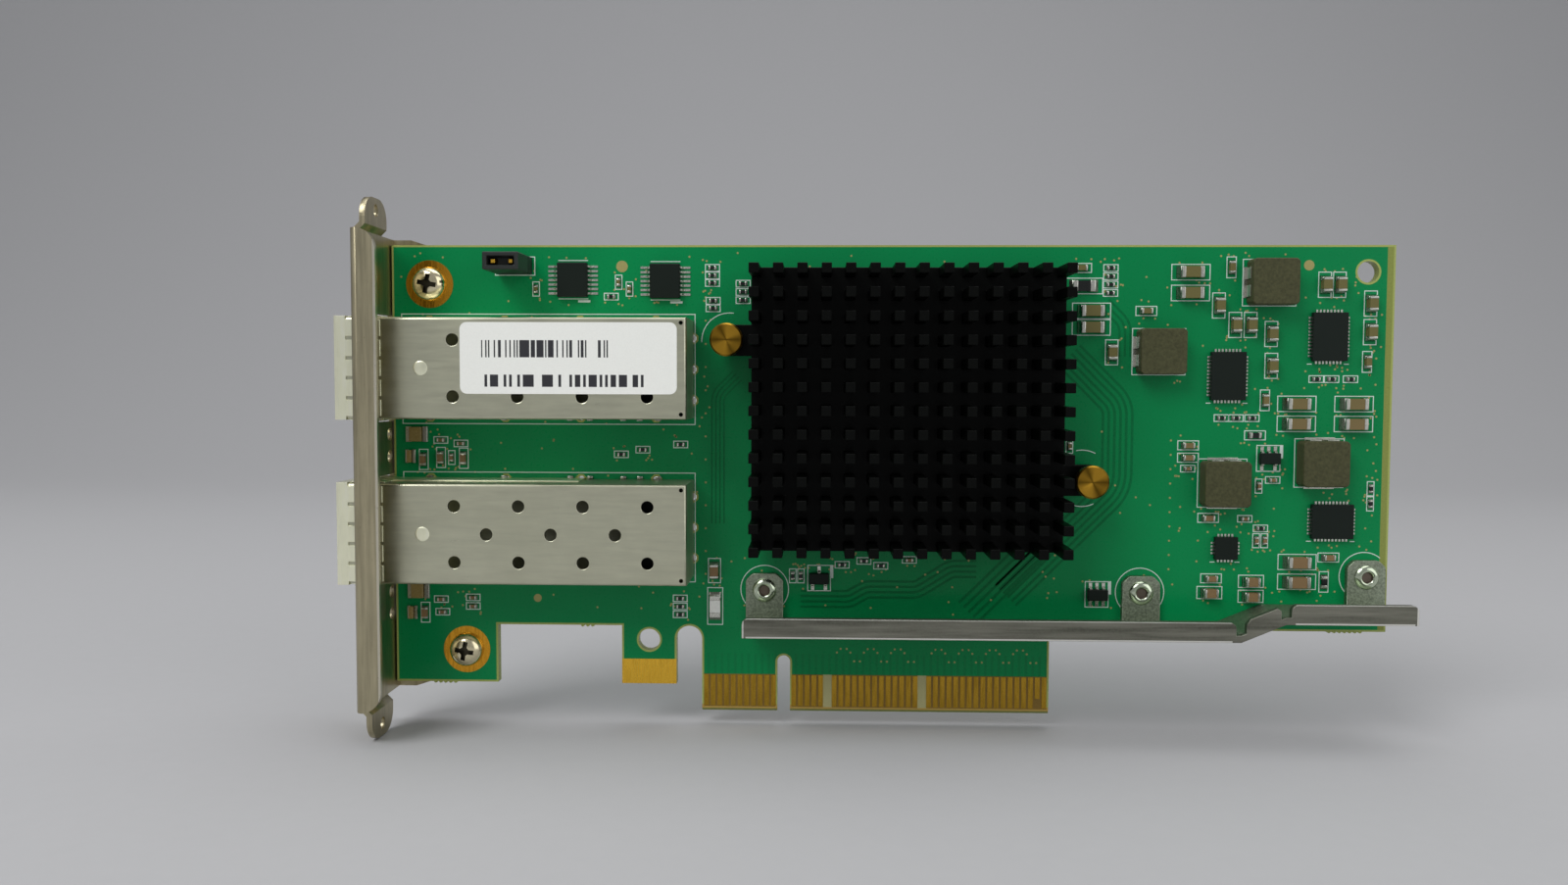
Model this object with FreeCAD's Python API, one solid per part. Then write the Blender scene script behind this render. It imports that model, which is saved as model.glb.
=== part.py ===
"""Low-profile network interface card with two pluggable optical ports.

The card stands upright on its contact edge.  X runs along the card, away from
the bracket; Z is up; the component face looks along -Y and lies in the plane
Y = 0.  The origin is the middle of the key notch, on the lower edge of the
contact tongue.  A height h is a distance in front of the component face, so a
point at height h has Y = -h.  All sizes are in millimetres.
"""
import FreeCAD
import Part
import math
import os

# ---------------------------------------------------------------- board
CAGE_PLACE = 13.4           # key notch to the rear of the port cages
CARD_RIGHT = 88.0           # key notch to the free end
CARD_HEIGHT = 68.9          # contact edge to the upper edge
BOARD_THICKNESS = 1.57
TAB_HEIGHT = 4.0            # lower edge of the corner tab, and of the hook
TAB_LENGTH = 15.3
SHELF_HEIGHT = 12.7         # lower edge of the board beside the tongue
HOOK_WIDTH = 8.15
SLOT_WIDTH = 3.8            # slot between the hook and the tongue
KEY_WIDTH = 1.9
KEY_DEPTH = 8.4
CORNER_HOLE_RADIUS = 1.55
CORNER_HOLE_INSET = 3.85
HOOK_HOLE_RADIUS = 1.6
EDGE_BEVEL = 0.4

# The parts are laid out on a grid whose steps are one millimetre wide on a
# card of standard size, and follow the card when it grows or shrinks.
LEFT_COLUMNS = 58
RIGHT_COLUMNS = 88
SHELF_ROWS = 12.7
ROWS = 68.9

ROUND_SIDES = 12            # flat sides of the small round pieces and holes
LEG_HOLE_SIDES = 8

# ---------------------------------------------------------------- contacts
CONTACT_PITCH = 1.0
CONTACT_WIDTH = 0.7
CONTACT_START = 0.8         # bare strip under the contacts
CONTACT_LENGTH = 4.65
SHORT_CONTACT = 3.2
COUNT_BEFORE_KEY = 11
COUNT_AFTER_KEY = 38
FIRST_CONTACT = 1.5         # key notch to the nearest contact
TONGUE_MARGIN = 0.65        # last contact to the side of the tongue
MISSING_CONTACTS = (17, 31)
SHORT_FRONT_CONTACT = 48
SHORT_BACK_CONTACT = 1
PLATING = 0.05
HOOK_PLATING = 3.7          # plated foot of the hook

# ---------------------------------------------------------------- bracket
SHEET = 0.8
BRACKET_GAP = 0.2           # bracket to the end of the board
FLANGE_WIDTH = 3.7
FLANGE_REACH = 14.2         # outer face of the flange, in front of the board
BACK_REACH = 4.2            # rear edge of the bracket, behind the board face
BRACKET_BOTTOM = 2.9
BRACKET_TOP_MARGIN = 0.9    # bracket above the board
BEND_RADIUS = 1.2
FLANGE_CORNER = 3.0
TONGUE_TAB_WIDTH = 8.4      # tabs at both ends of the bracket
TONGUE_TAB_LENGTH = 4.8
TONGUE_TAB_HEIGHT = 7.8     # middle of the tabs, in front of the board
TONGUE_HOLE_RADIUS = 0.9
TONGUE_TAB_CORNER = 3.0
JOG_START = 0.3             # start of the step in these tabs, in thicknesses
MOUNT_TAB_LENGTH = 13.0     # tabs behind the board that take the screws
MOUNT_TAB_HEIGHT = 10.5
MOUNT_TAB_STRAIGHT = 2.6    # straight edge of these tabs, before their slope
MOUNT_TAB_DROP = 3.7        # fall of that slope
LIGHT_HOLE_RADIUS = 0.95
LIGHT_HOLE_HEIGHT = 1.3
LIGHT_SHARES = (0.28, 0.64)     # places of the lights in the room between the cages

SCREW_RADIUS = 1.25
SCREW_HEAD_RADIUS = 2.5
SCREW_HEAD_HEIGHT = 1.7
SCREW_CLEARANCE = 0.3
SCREW_PAD_RADIUS = 3.5
SCREW_STICK_OUT = 0.6       # screw tip behind the bracket's tab
RECESS_WIDTH = 0.7
RECESS_LENGTH = 2.8
RECESS_DEPTH = 1.0

# ---------------------------------------------------------------- ports
CAGE_LENGTH = 49.2
CAGE_FRONT_REACH = 4.6      # cage mouth to the end of the board
CAGE_WIDTH = 14.25
CAGE_HEIGHT = 9.8
CAGE_SHEET = 0.25
CAGE_FIT = 0.05             # floor to the walls of the cover
FLOOR_WALL = 3.0            # upturned sides of the floor
LATCH_INSET = 4.0           # end of the board to the window of the latch
LATCH_LENGTH = 3.0
LATCH_WIDTH = 4.0
VENT_RADIUS = 0.9
VENT_PITCH = 9.1
VENT_ROW = 3.97
VENT_INSET = 5.5            # last vents to the rear of the cage
LEG_WIDTH = 0.7
LEG_REACH = 2.3             # legs below the component face
LEG_HOLE_RADIUS = 0.6
REAR_LEG_SHARE = 0.65       # outer rear legs, as a share of the half width
COLLAR_SHEET = 0.15
COLLAR_BAND = 1.6
COLLAR_OVERHANG = 0.2
FINGER_WIDTH = 2.3
FINGER_PITCH = 2.8
FINGER_LENGTH = 4.9
FINGER_BULGE = 0.4
OPENING_GAP = 0.1           # spring fingers to the bracket
HOUSING_WIDTH = 12.0
HOUSING_LENGTH = 9.2
HOUSING_HEIGHT = 5.6
HOUSING_GAP = 0.3
MOUTH_WIDTH = 9.4
MOUTH_HEIGHT = 1.5
MOUTH_FLOOR = 2.1
MOUTH_DEPTH = 5.5
HOUSING_BEVEL = 1.2
PIN_INSET = 0.5             # contacts behind the mouth's edge
PIN_PITCH = 0.8
PIN_WIDTH = 0.4
PIN_SHEET = 0.2
PINS_PER_ROW = 10
LABEL_LENGTH = 30.4
LABEL_WIDTH = 10.0
LABEL_SHEET = 0.08
LABEL_CORNER = 1.0
LABEL_REAR_INSET = 1.3
LABEL_SIDE_INSET = 0.7

# ---------------------------------------------------------------- heat sink
SINK_LENGTH = 44.8
SINK_WIDTH = 40.7
SINK_BASE = 1.8
SINK_TOP = 11.5             # tips of the fins, in front of the board
SINK_COLUMNS = 14
SINK_ROWS = 13
FIN_WIDTH = 1.4
EAR_RADIUS = 2.3
EAR_OUT = 3.4               # side of the sink to the push pins
EAR_RISE = 9.95
CHIP_SIZE = 25.0
CHIP_SUBSTRATE = 1.2
CHIP_LID_SIZE = 17.0
CHIP_LID = 0.9
PAD_SIZE = 20.0
PAD_SHEET = 0.3
PUSH_PIN_RADIUS = 1.3
PUSH_HEAD_RADIUS = 2.35
PUSH_HEAD_HEIGHT = 1.3
PUSH_HOLE_RADIUS = 1.6
PUSH_HEAD_BEVEL = 0.2
BARB_RADIUS = 1.95
BARB_LENGTH = 2.4
BARB_RIM = 0.3
BARB_TIP_RADIUS = 0.8
BARB_SPLIT = 0.5
SPRING_WIRE = 0.4
SPRING_TURNS = 3
SPRING_SIDES = 8
SPRING_OPEN = 1.6           # height of one turn, in thicknesses of the wire
SPRING_GAP = 0.2            # spring to the stem of the push pin

# ---------------------------------------------------------------- stiffener
BAR_SHEET = 1.0
BAR_REACH = 10.4            # outer face of the lip, in front of the board
BAR_BOTTOM = 13.1
BAR_STEP = 2.55             # rise of the bar at its free end
BAR_LIP = 2.8
BAR_LEFT = -5.6
BAR_RIGHT = 87.75
STEP_START = 63.6
STEP_END = 69.7
LIP_NOTCH = 0.7
LIP_CORNER = 0.55
FOOT_WIDTH = 5.5
FOOT_HEIGHT = 7.65
FOOT_CORNER = 1.0
RIVET_HEIGHT = 5.2          # rivet above the lower face of the bar
RIVET_RADIUS = 1.1
RIVET_BORE = 0.6
RIVET_HEAD_RADIUS = 1.9
RIVET_HEAD = 0.5
RIVET_CLEARANCE = 0.1

# ---------------------------------------------------------------- small parts
CHIP_1206 = (3.2, 1.6, 1.3)     # length, width and height of chip parts
CHIP_0805 = (2.0, 1.25, 1.25)
CHIP_0603 = (1.6, 0.8, 0.8)
CHIP_0402 = (1.0, 0.5, 0.5)
FLAT_0402 = (1.0, 0.5, 0.35)
FLAT_0603 = (1.6, 0.8, 0.45)
FLAT_1206 = (3.2, 1.6, 0.6)
END_CAP_SHARE = 0.2
COIL_SIZE = 6.6
COIL_HEIGHT = 2.9
COIL_CORNER = 0.4
TERMINAL_SHEET = 0.3
TERMINAL_WIDTH = 3.0
TERMINAL_HEIGHT = 2.0
FLAT_CHIP_HEIGHT = 0.85
TALL_CHIP = (5.0, 7.0)
LONG_CHIP = (6.0, 5.0)
SMALL_CHIP = (3.3, 3.3)
LEADED_CHIP_LIFT = 0.1
LEADED_CHIP_HEIGHT = 1.0
AMPLIFIER_LENGTH = 5.0
AMPLIFIER_WIDTH = 4.4
LEAD_REACH = 1.0
LEAD_SHEET = 0.15
LEAD_PITCH = 0.65
LEAD_WIDTH = 0.25
LEADS_PER_SIDE = 7
SOT_LENGTH = 2.9
SOT_WIDTH = 1.6
SOT_PITCH = 0.95
SOT_LEAD_WIDTH = 0.4
SOT_LEAD_REACH = 0.6
LARGE_LIGHT = (3.0, 2.3, 0.9)
SMALL_LIGHT = (1.25, 2.0, 0.8)
HEADER_PITCH = 2.54
HEADER_WIDTH = 2.5
HEADER_BASE = 2.5
HEADER_PIN = 0.64
HEADER_PIN_TOP = 7.6
HEADER_TAIL = 2.6
CAP_TOP = 8.5
CAP_WALL = 0.6
CAP_FIT = 0.05
CAP_WINDOW = 1.0            # depth of the window below the tops of the pins

# ---------------------------------------------------------------- layout
UPPER_PORT_ROW = 50.75
LOWER_PORT_ROW = 27.4
SINK_PLACE = (17.75, 44.95)
SCREWS = ((5.6, 63.2), (10.6, 8.9))     # from the end of the board, and row
HOOK_HOLE_ROW = 10.6
FEET_COLUMNS = (-2.85, 52.25, 84.65)
HEADER_PLACE = (-39.7, 65.85)
LARGE_LIGHT_INSET = 3.4     # end of the board to the lights
SMALL_LIGHT_INSET = 2.4
AMPLIFIERS = ((-31.1, 63.8), (-17.5, 63.65))
TALL_FLAT_CHIPS = ((78.7, 55.7), (64.3, 50.0))
LONG_FLAT_CHIPS = ((79.7, 28.9),)
SMALL_FLAT_CHIPS = ((64.5, 24.9),)
SOT_CHIPS = ((70.5, 38.05, 3, 2), (46.0, 17.9, 3, 3), (5.2, 20.0, 1, 2))
COILS_ALONG_X = ((70.1, 63.5), (54.4, 53.5))
COILS_ALONG_Z = ((63.9, 34.4), (77.8, 37.4))
LARGE_CAPS_ALONG_X = ((58.8, 65.0), (58.8, 62.0), (44.6, 59.4), (44.6, 57.0),
                      (74.4, 46.0), (82.6, 46.0), (74.4, 43.1), (82.6, 43.1),
                      (75.0, 22.9), (75.0, 20.0))
MEDIUM_CAPS_ALONG_X = ((62.4, 18.3), (68.4, 20.0), (68.4, 17.8))
MEDIUM_CAPS_ALONG_Z = ((62.9, 60.2), (65.3, 57.4), (67.5, 57.4), (70.5, 56.1),
                       (70.6, 51.5), (78.0, 63.2), (80.1, 63.2), (84.6, 60.5),
                       (84.6, 56.4), (47.6, 53.4), (-10.3, 21.0))
SMALL_CAPS_ALONG_X = ((52.5, 59.4), (58.9, 39.9), (58.9, 38.1), (62.0, 29.3),
                      (62.6, 20.4), (79.5, 23.6), (43.0, 65.6))
SMALL_CAPS_ALONG_Z = ((64.6, 65.7), (69.8, 46.5), (84.3, 52.1), (-53.6, 37.3),
                      (-51.0, 37.6), (-47.6, 37.5), (-53.6, 14.4))
TINY_CAPS_ALONG_X = ((58.9, 36.5), (71.2, 34.9), (67.3, 29.2), (18.5, 22.8),
                     (-48.0, 39.7), (-51.0, 40.2), (-51.2, 16.4), (-51.0, 14.5),
                     (-46.4, 16.7), (-46.4, 15.4))
TINY_CAPS_ALONG_Z = ((-36.6, 62.5), (-22.8, 62.5), (69.2, 34.0), (69.0, 26.0),
                     (70.2, 26.0), (-24.4, 63.5), (-49.4, 37.6), (41.7, 39.7))
RESISTORS_ALONG_X = ((-10.6, 65.6), (-10.6, 64.5), (-10.6, 63.4), (-10.5, 60.8),
                     (-10.5, 59.7), (-6.1, 63.3), (-6.1, 62.1), (-6.1, 60.9),
                     (-15.3, 39.7), (-24.1, 38.2), (-20.9, 38.9), (-15.4, 16.8),
                     (-15.4, 15.6), (-15.4, 14.4), (47.3, 65.6), (47.3, 64.4),
                     (47.3, 63.2), (47.3, 62.0), (77.1, 49.6), (79.3, 49.6),
                     (82.0, 49.6), (63.6, 43.9), (65.7, 43.9), (68.0, 43.9),
                     (69.6, 27.8), (-25.5, 61.4), (8.6, 22.0), (11.8, 22.6),
                     (14.3, 21.9))
RESISTORS_ALONG_Z = ((1.3, 20.3), (2.5, 20.3), (85.3, 33.7), (85.3, 31.5))
BIG_RESISTORS_ALONG_X = ((68.5, 41.4),)
BIG_RESISTORS_ALONG_Z = ((78.9, 20.0),)
FUSE_PLACE = (-10.2, 15.7)
ARRAY_PLACE = (43.4, 63.0)

# ---------------------------------------------------------------- worked out
CARD_LEFT = CAGE_PLACE + CAGE_LENGTH - CAGE_FRONT_REACH
BRACKET_INNER = -CARD_LEFT - BRACKET_GAP
BRACKET_OUTER = BRACKET_INNER - SHEET
BRACKET_TOP = CARD_HEIGHT + BRACKET_TOP_MARGIN
TONGUE_LEFT = -(FIRST_CONTACT + (COUNT_BEFORE_KEY - 1) * CONTACT_PITCH + TONGUE_MARGIN)
TONGUE_RIGHT = FIRST_CONTACT + (COUNT_AFTER_KEY - 1) * CONTACT_PITCH + TONGUE_MARGIN
HOOK_RIGHT = TONGUE_LEFT - SLOT_WIDTH
HOOK_LEFT = HOOK_RIGHT - HOOK_WIDTH
CAGE_FRONT = -CARD_LEFT - CAGE_FRONT_REACH
CAGE_REAR = CAGE_FRONT + CAGE_LENGTH
HOUSING_REAR = CAGE_REAR - CAGE_SHEET - HOUSING_GAP
HOUSING_FRONT = HOUSING_REAR - HOUSING_LENGTH
OPENING_MARGIN = COLLAR_SHEET + FINGER_BULGE + OPENING_GAP
CHIP_TOP = CHIP_SUBSTRATE + CHIP_LID
SINK_BOTTOM = CHIP_TOP + PAD_SHEET
SINK_FLOOR = SINK_BOTTOM + SINK_BASE
HEAD_BOTTOM = SINK_FLOOR + SPRING_TURNS * SPRING_WIRE * SPRING_OPEN
EAR_REACH = SINK_LENGTH / 2 + EAR_OUT
BACK_FACE = -BOARD_THICKNESS


def grid(place):
    """Millimetre position of a place on the layout grid."""
    column, row = place
    if column < 0:
        x = column * CARD_LEFT / LEFT_COLUMNS
    else:
        x = column * CARD_RIGHT / RIGHT_COLUMNS
    if row < SHELF_ROWS:
        return x, row * SHELF_HEIGHT / SHELF_ROWS
    step = (CARD_HEIGHT - SHELF_HEIGHT) / (ROWS - SHELF_ROWS)
    return x, SHELF_HEIGHT + (row - SHELF_ROWS) * step


def slab(x0, x1, h0, h1, z0, z1):
    """Box between two X, two heights off the board and two Z."""
    return Part.makeBox(x1 - x0, h1 - h0, z1 - z0, FreeCAD.Vector(x0, -h1, z0))


def block(centre, length, width, h0, h1):
    """Box centred on a board position, length along X and width along Z."""
    x, z = centre
    return slab(x - length / 2, x + length / 2, h0, h1, z - width / 2, z + width / 2)


def post(centre, radius, h0, h1):
    """Cylinder square to the board."""
    x, z = centre
    base = FreeCAD.Vector(x, -h0, z)
    return Part.makeCylinder(radius, h1 - h0, base, FreeCAD.Vector(0, -1, 0))


def prism(points, h0, h1):
    """Plate whose outline is given in X and Z."""
    corners = [FreeCAD.Vector(x, -h0, z) for x, z in points]
    face = Part.Face(Part.makePolygon(corners + corners[:1]))
    return face.extrude(FreeCAD.Vector(0, h0 - h1, 0))


def strip(points, z0, z1):
    """Bar along Z whose section is given as X and height."""
    corners = [FreeCAD.Vector(x, -h, z0) for x, h in points]
    face = Part.Face(Part.makePolygon(corners + corners[:1]))
    return face.extrude(FreeCAD.Vector(0, 0, z1 - z0))


def rail(points, x0, x1):
    """Bar along X whose section is given as height and Z."""
    corners = [FreeCAD.Vector(x0, -h, z) for h, z in points]
    face = Part.Face(Part.makePolygon(corners + corners[:1]))
    return face.extrude(FreeCAD.Vector(x1 - x0, 0, 0))


def rim(centre, radius, h, sides):
    """Closed outline with flat sides round a board position, at one height."""
    x, z = centre
    corners = []
    for step in range(sides):
        angle = 2 * math.pi * (step + 0.5) / sides
        corners.append(FreeCAD.Vector(x + radius * math.cos(angle), -h,
                                      z + radius * math.sin(angle)))
    return Part.makePolygon(corners + corners[:1])


def peg(centre, radius, h0, h1, sides=ROUND_SIDES):
    """Prism with flat sides square to the board, for small repeated holes."""
    face = Part.Face(rim(centre, radius, h0, sides))
    return face.extrude(FreeCAD.Vector(0, h0 - h1, 0))


def turned(steps, centre):
    """Small round solid with flat sides, from radius and height pairs."""
    parts = []
    for (r0, h0), (r1, h1) in zip(steps, steps[1:]):
        if h1 > h0:
            rims = [rim(centre, r0, h0, ROUND_SIDES), rim(centre, r1, h1, ROUND_SIDES)]
            parts.append(Part.makeLoft(rims, True, True))
    return parts[0].fuse(parts[1:]).removeSplitter()


def side_hole(radius, h, z):
    """Cutter along X through the bracket, with flat sides."""
    corners = []
    for step in range(ROUND_SIDES):
        angle = 2 * math.pi * (step + 0.5) / ROUND_SIDES
        corners.append(FreeCAD.Vector(BRACKET_OUTER - 1, -h + radius * math.cos(angle),
                                      z + radius * math.sin(angle)))
    face = Part.Face(Part.makePolygon(corners + corners[:1]))
    return face.extrude(FreeCAD.Vector(2 + 2 * SHEET, 0, 0))


def edges_along(shape, axis, keep):
    """Straight edges of a shape that run along an axis and pass a test."""
    picked = []
    for edge in shape.Edges:
        if len(edge.Vertexes) != 2:
            continue
        run = edge.Vertexes[1].Point - edge.Vertexes[0].Point
        middle = (edge.Vertexes[1].Point + edge.Vertexes[0].Point) * 0.5
        if abs(abs(run.dot(axis)) - run.Length) < 1e-6 and keep(middle):
            picked.append(edge)
    return picked


def group(solids):
    """Separate solids kept together in one node."""
    return Part.makeCompound(solids)


# ---------------------------------------------------------------- board
def screw_places():
    return [(inset - CARD_LEFT, grid((0, row))[1]) for inset, row in SCREWS]


def push_pin_places():
    x, z = grid(SINK_PLACE)
    return (x - EAR_REACH, z + EAR_RISE), (x + EAR_REACH, z - EAR_RISE)


def rivet_places():
    places = []
    for column in FEET_COLUMNS:
        rise = BAR_STEP if column > STEP_END else 0
        places.append((grid((column, 0))[0], BAR_BOTTOM + rise + RIVET_HEIGHT))
    return places


def port_middles():
    return grid((0, UPPER_PORT_ROW))[1], grid((0, LOWER_PORT_ROW))[1]


def light_rows():
    """Heights of the large and the small light under each port."""
    upper, lower = port_middles()
    room = upper - lower - CAGE_WIDTH
    return [[middle - CAGE_WIDTH / 2 - share * room for middle in (upper, lower)]
            for share in LIGHT_SHARES]


def side_leg_columns():
    """Positions along X of the legs under a cage's side walls."""
    reach = CAGE_REAR - 2 * VENT_INSET + CARD_LEFT
    return [-CARD_LEFT + VENT_INSET + share * reach for share in (0, 1 / 3, 2 / 3, 1)]


def leg_places(middle):
    """Where the legs of one cage pass through the board."""
    side = (CAGE_WIDTH - CAGE_SHEET) / 2
    places = [(x, middle + sign * side) for x in side_leg_columns() for sign in (-1, 1)]
    rear = CAGE_REAR - CAGE_SHEET / 2
    rears = [(rear, middle + sign * side * REAR_LEG_SHARE) for sign in (-1, 0, 1)]
    return places, rears


def upright_slot(x, width, top):
    """Slot with a round top, open at the lower edge of the board."""
    centre = (x, top - width / 2)
    low = slab(x - width / 2, x + width / 2, BACK_FACE - 1, 1, -1, centre[1])
    return low.fuse(post(centre, width / 2, BACK_FACE - 1, 1))


def circuit_board():
    left, right, top = -CARD_LEFT, CARD_RIGHT, CARD_HEIGHT
    tab_right = left + TAB_LENGTH
    corners = [(left, TAB_HEIGHT), (tab_right, TAB_HEIGHT), (tab_right, SHELF_HEIGHT),
               (HOOK_LEFT, SHELF_HEIGHT), (HOOK_LEFT, TAB_HEIGHT), (TONGUE_LEFT, TAB_HEIGHT),
               (TONGUE_LEFT, 0), (TONGUE_RIGHT, 0), (TONGUE_RIGHT, SHELF_HEIGHT),
               (right, SHELF_HEIGHT), (right, top), (left, top)]
    board = prism(corners, BACK_FACE, 0)
    along = FreeCAD.Vector(1, 0, 0)
    contact_edges = edges_along(board, along, lambda point: abs(point.z) < 1e-6)
    board = board.makeChamfer(EDGE_BEVEL, contact_edges)
    cutters = [upright_slot(0, KEY_WIDTH, KEY_DEPTH),
               upright_slot(TONGUE_LEFT - SLOT_WIDTH / 2, SLOT_WIDTH, SHELF_HEIGHT)]
    corner = (right - CORNER_HOLE_INSET, top - CORNER_HOLE_INSET)
    cutters.append(post(corner, CORNER_HOLE_RADIUS, BACK_FACE - 1, 1))
    hook = ((HOOK_LEFT + HOOK_RIGHT) / 2, grid((0, HOOK_HOLE_ROW))[1])
    cutters.append(post(hook, HOOK_HOLE_RADIUS, BACK_FACE - 1, 1))
    holes = [(place, SCREW_RADIUS + SCREW_CLEARANCE) for place in screw_places()]
    holes.extend((place, PUSH_HOLE_RADIUS) for place in push_pin_places())
    holes.extend((place, RIVET_RADIUS + RIVET_CLEARANCE) for place in rivet_places())
    cutters.extend(peg(place, radius, BACK_FACE - 1, 1) for place, radius in holes)
    legs = list(header_pin_places())
    for middle in port_middles():
        sides, rears = leg_places(middle)
        legs.extend(sides + rears)
    cutters.extend(peg(place, LEG_HOLE_RADIUS, BACK_FACE - 1, 1, LEG_HOLE_SIDES)
                   for place in legs)
    return board.cut(cutters)


def contact_strips(h0, short):
    """One face's row of contacts; h0 is the height of its inner side."""
    strips = []
    last = COUNT_BEFORE_KEY + COUNT_AFTER_KEY
    for number in range(1, last + 1):
        if number in MISSING_CONTACTS and h0 == 0:
            continue
        steps = COUNT_BEFORE_KEY - number
        x = -FIRST_CONTACT - steps * CONTACT_PITCH
        if number > COUNT_BEFORE_KEY:
            x = FIRST_CONTACT - (steps + 1) * CONTACT_PITCH
        length = SHORT_CONTACT if number == short else CONTACT_LENGTH
        top = CONTACT_START + CONTACT_LENGTH
        strips.append(slab(x - CONTACT_WIDTH / 2, x + CONTACT_WIDTH / 2, h0, h0 + PLATING,
                           top - length, top))
    return group(strips)


def edge_contacts_front():
    return contact_strips(0, SHORT_FRONT_CONTACT)


def edge_contacts_back():
    return contact_strips(BACK_FACE - PLATING, SHORT_BACK_CONTACT)


def ground_pads():
    """Plated rings under the bracket screws and the plated foot of the hook."""
    pads = []
    for place in screw_places():
        ring = peg(place, SCREW_PAD_RADIUS, 0, PLATING)
        hole = peg(place, SCREW_RADIUS + SCREW_CLEARANCE, -1, 1)
        pads.append(ring.cut(hole))
    pads.append(slab(HOOK_LEFT, HOOK_RIGHT, 0, PLATING, TAB_HEIGHT,
                     TAB_HEIGHT + HOOK_PLATING))
    return group(pads)


# ---------------------------------------------------------------- bracket
def bracket_channel():
    """Plate and front flange, folded from one sheet along the front edge."""
    end = BRACKET_OUTER + FLANGE_WIDTH
    section = [(BRACKET_OUTER, -BACK_REACH), (BRACKET_OUTER, FLANGE_REACH),
               (end, FLANGE_REACH), (end, FLANGE_REACH - SHEET),
               (BRACKET_INNER, FLANGE_REACH - SHEET), (BRACKET_INNER, -BACK_REACH)]
    channel = strip(section, BRACKET_BOTTOM, BRACKET_TOP)
    up = FreeCAD.Vector(0, 0, 1)
    outer = edges_along(channel, up, lambda p: abs(p.x - BRACKET_OUTER) < 1e-6
                        and abs(p.y + FLANGE_REACH) < 1e-6)
    channel = channel.makeFillet(BEND_RADIUS, outer)
    inner = edges_along(channel, up, lambda p: abs(p.x - BRACKET_INNER) < 1e-6
                        and abs(p.y + FLANGE_REACH - SHEET) < 1e-6)
    channel = channel.makeFillet(BEND_RADIUS - SHEET, inner)
    across = FreeCAD.Vector(0, 1, 0)
    corners = edges_along(channel, across, lambda p: abs(p.x - end) < 1e-6)
    return channel.makeFillet(FLANGE_CORNER, corners)


def end_tab(z, direction):
    """Round-ended tab beyond one end of the bracket, set in by one sheet."""
    root, reach = 1.0, TONGUE_TAB_LENGTH
    step = [(BRACKET_OUTER, -root), (BRACKET_OUTER, JOG_START * SHEET),
            (BRACKET_INNER, (1 + JOG_START) * SHEET), (BRACKET_INNER, reach),
            (BRACKET_INNER + SHEET, reach), (BRACKET_INNER + SHEET, SHEET),
            (BRACKET_INNER, 0), (BRACKET_INNER, -root)]
    points = [(x, z + direction * rise) for x, rise in step]
    low = TONGUE_TAB_HEIGHT - TONGUE_TAB_WIDTH / 2
    tab = prism(points, low, low + TONGUE_TAB_WIDTH)
    along = FreeCAD.Vector(1, 0, 0)
    tip = z + direction * reach
    corners = edges_along(tab, along, lambda p: abs(p.z - tip) < 1e-6)
    tab = tab.makeFillet(TONGUE_TAB_CORNER, corners)
    middle = z + direction * (reach + SHEET) * 0.55
    return tab.cut(side_hole(TONGUE_HOLE_RADIUS, TONGUE_TAB_HEIGHT, middle))


def mount_tab(place, z0, z1, slope_up):
    """Tab folded flat against the back of the board, with a screw hole."""
    face = BACK_FACE
    end = BRACKET_INNER + MOUNT_TAB_LENGTH
    section = [(BRACKET_OUTER, face + 1), (BRACKET_OUTER, face - SHEET),
               (end, face - SHEET), (end, face), (BRACKET_INNER, face),
               (BRACKET_INNER, face + 1)]
    tab = strip(section, z0, z1)
    up = FreeCAD.Vector(0, 0, 1)
    outer = edges_along(tab, up, lambda p: abs(p.x - BRACKET_OUTER) < 1e-6
                        and abs(p.y - SHEET + face) < 1e-6)
    tab = tab.makeFillet(BEND_RADIUS, outer)
    start = BRACKET_INNER + MOUNT_TAB_STRAIGHT
    tip = z1 if slope_up else z0
    far = tip - MOUNT_TAB_DROP if slope_up else tip + MOUNT_TAB_DROP
    beyond = tip + 1 if slope_up else tip - 1
    corner = [(start, tip), (start, beyond), (end + 1, beyond), (end + 1, far)]
    tab = tab.cut(prism(corner, face - SHEET - 1, face + 1))
    hole = peg(place, SCREW_RADIUS, face - SHEET - 1, face + 1)
    return tab.cut(hole)


def bracket():
    channel = bracket_channel()
    upper = (BRACKET_TOP - MOUNT_TAB_HEIGHT, BRACKET_TOP)
    lower = (BRACKET_BOTTOM, BRACKET_BOTTOM + MOUNT_TAB_HEIGHT)
    cutters = []
    for z0, z1 in (upper, lower):
        cutters.append(slab(BRACKET_OUTER - 1, BRACKET_INNER + 1, -BACK_REACH - 1,
                            BACK_FACE, z0 - 1, z1 + 1))
    for middle in port_middles():
        half = CAGE_WIDTH / 2 + OPENING_MARGIN
        cutters.append(slab(BRACKET_OUTER - 1, BRACKET_INNER + 1, -OPENING_MARGIN,
                            CAGE_HEIGHT + OPENING_MARGIN, middle - half, middle + half))
    for rows in light_rows():
        cutters.extend(side_hole(LIGHT_HOLE_RADIUS, LIGHT_HOLE_HEIGHT, z) for z in rows)
    channel = channel.cut(cutters)
    upper_screw, lower_screw = screw_places()
    pieces = [end_tab(BRACKET_TOP, 1), end_tab(BRACKET_BOTTOM, -1),
              mount_tab(upper_screw, upper[0], upper[1], True),
              mount_tab(lower_screw, lower[0], lower[1], False)]
    return channel.fuse(pieces).removeSplitter()


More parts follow.
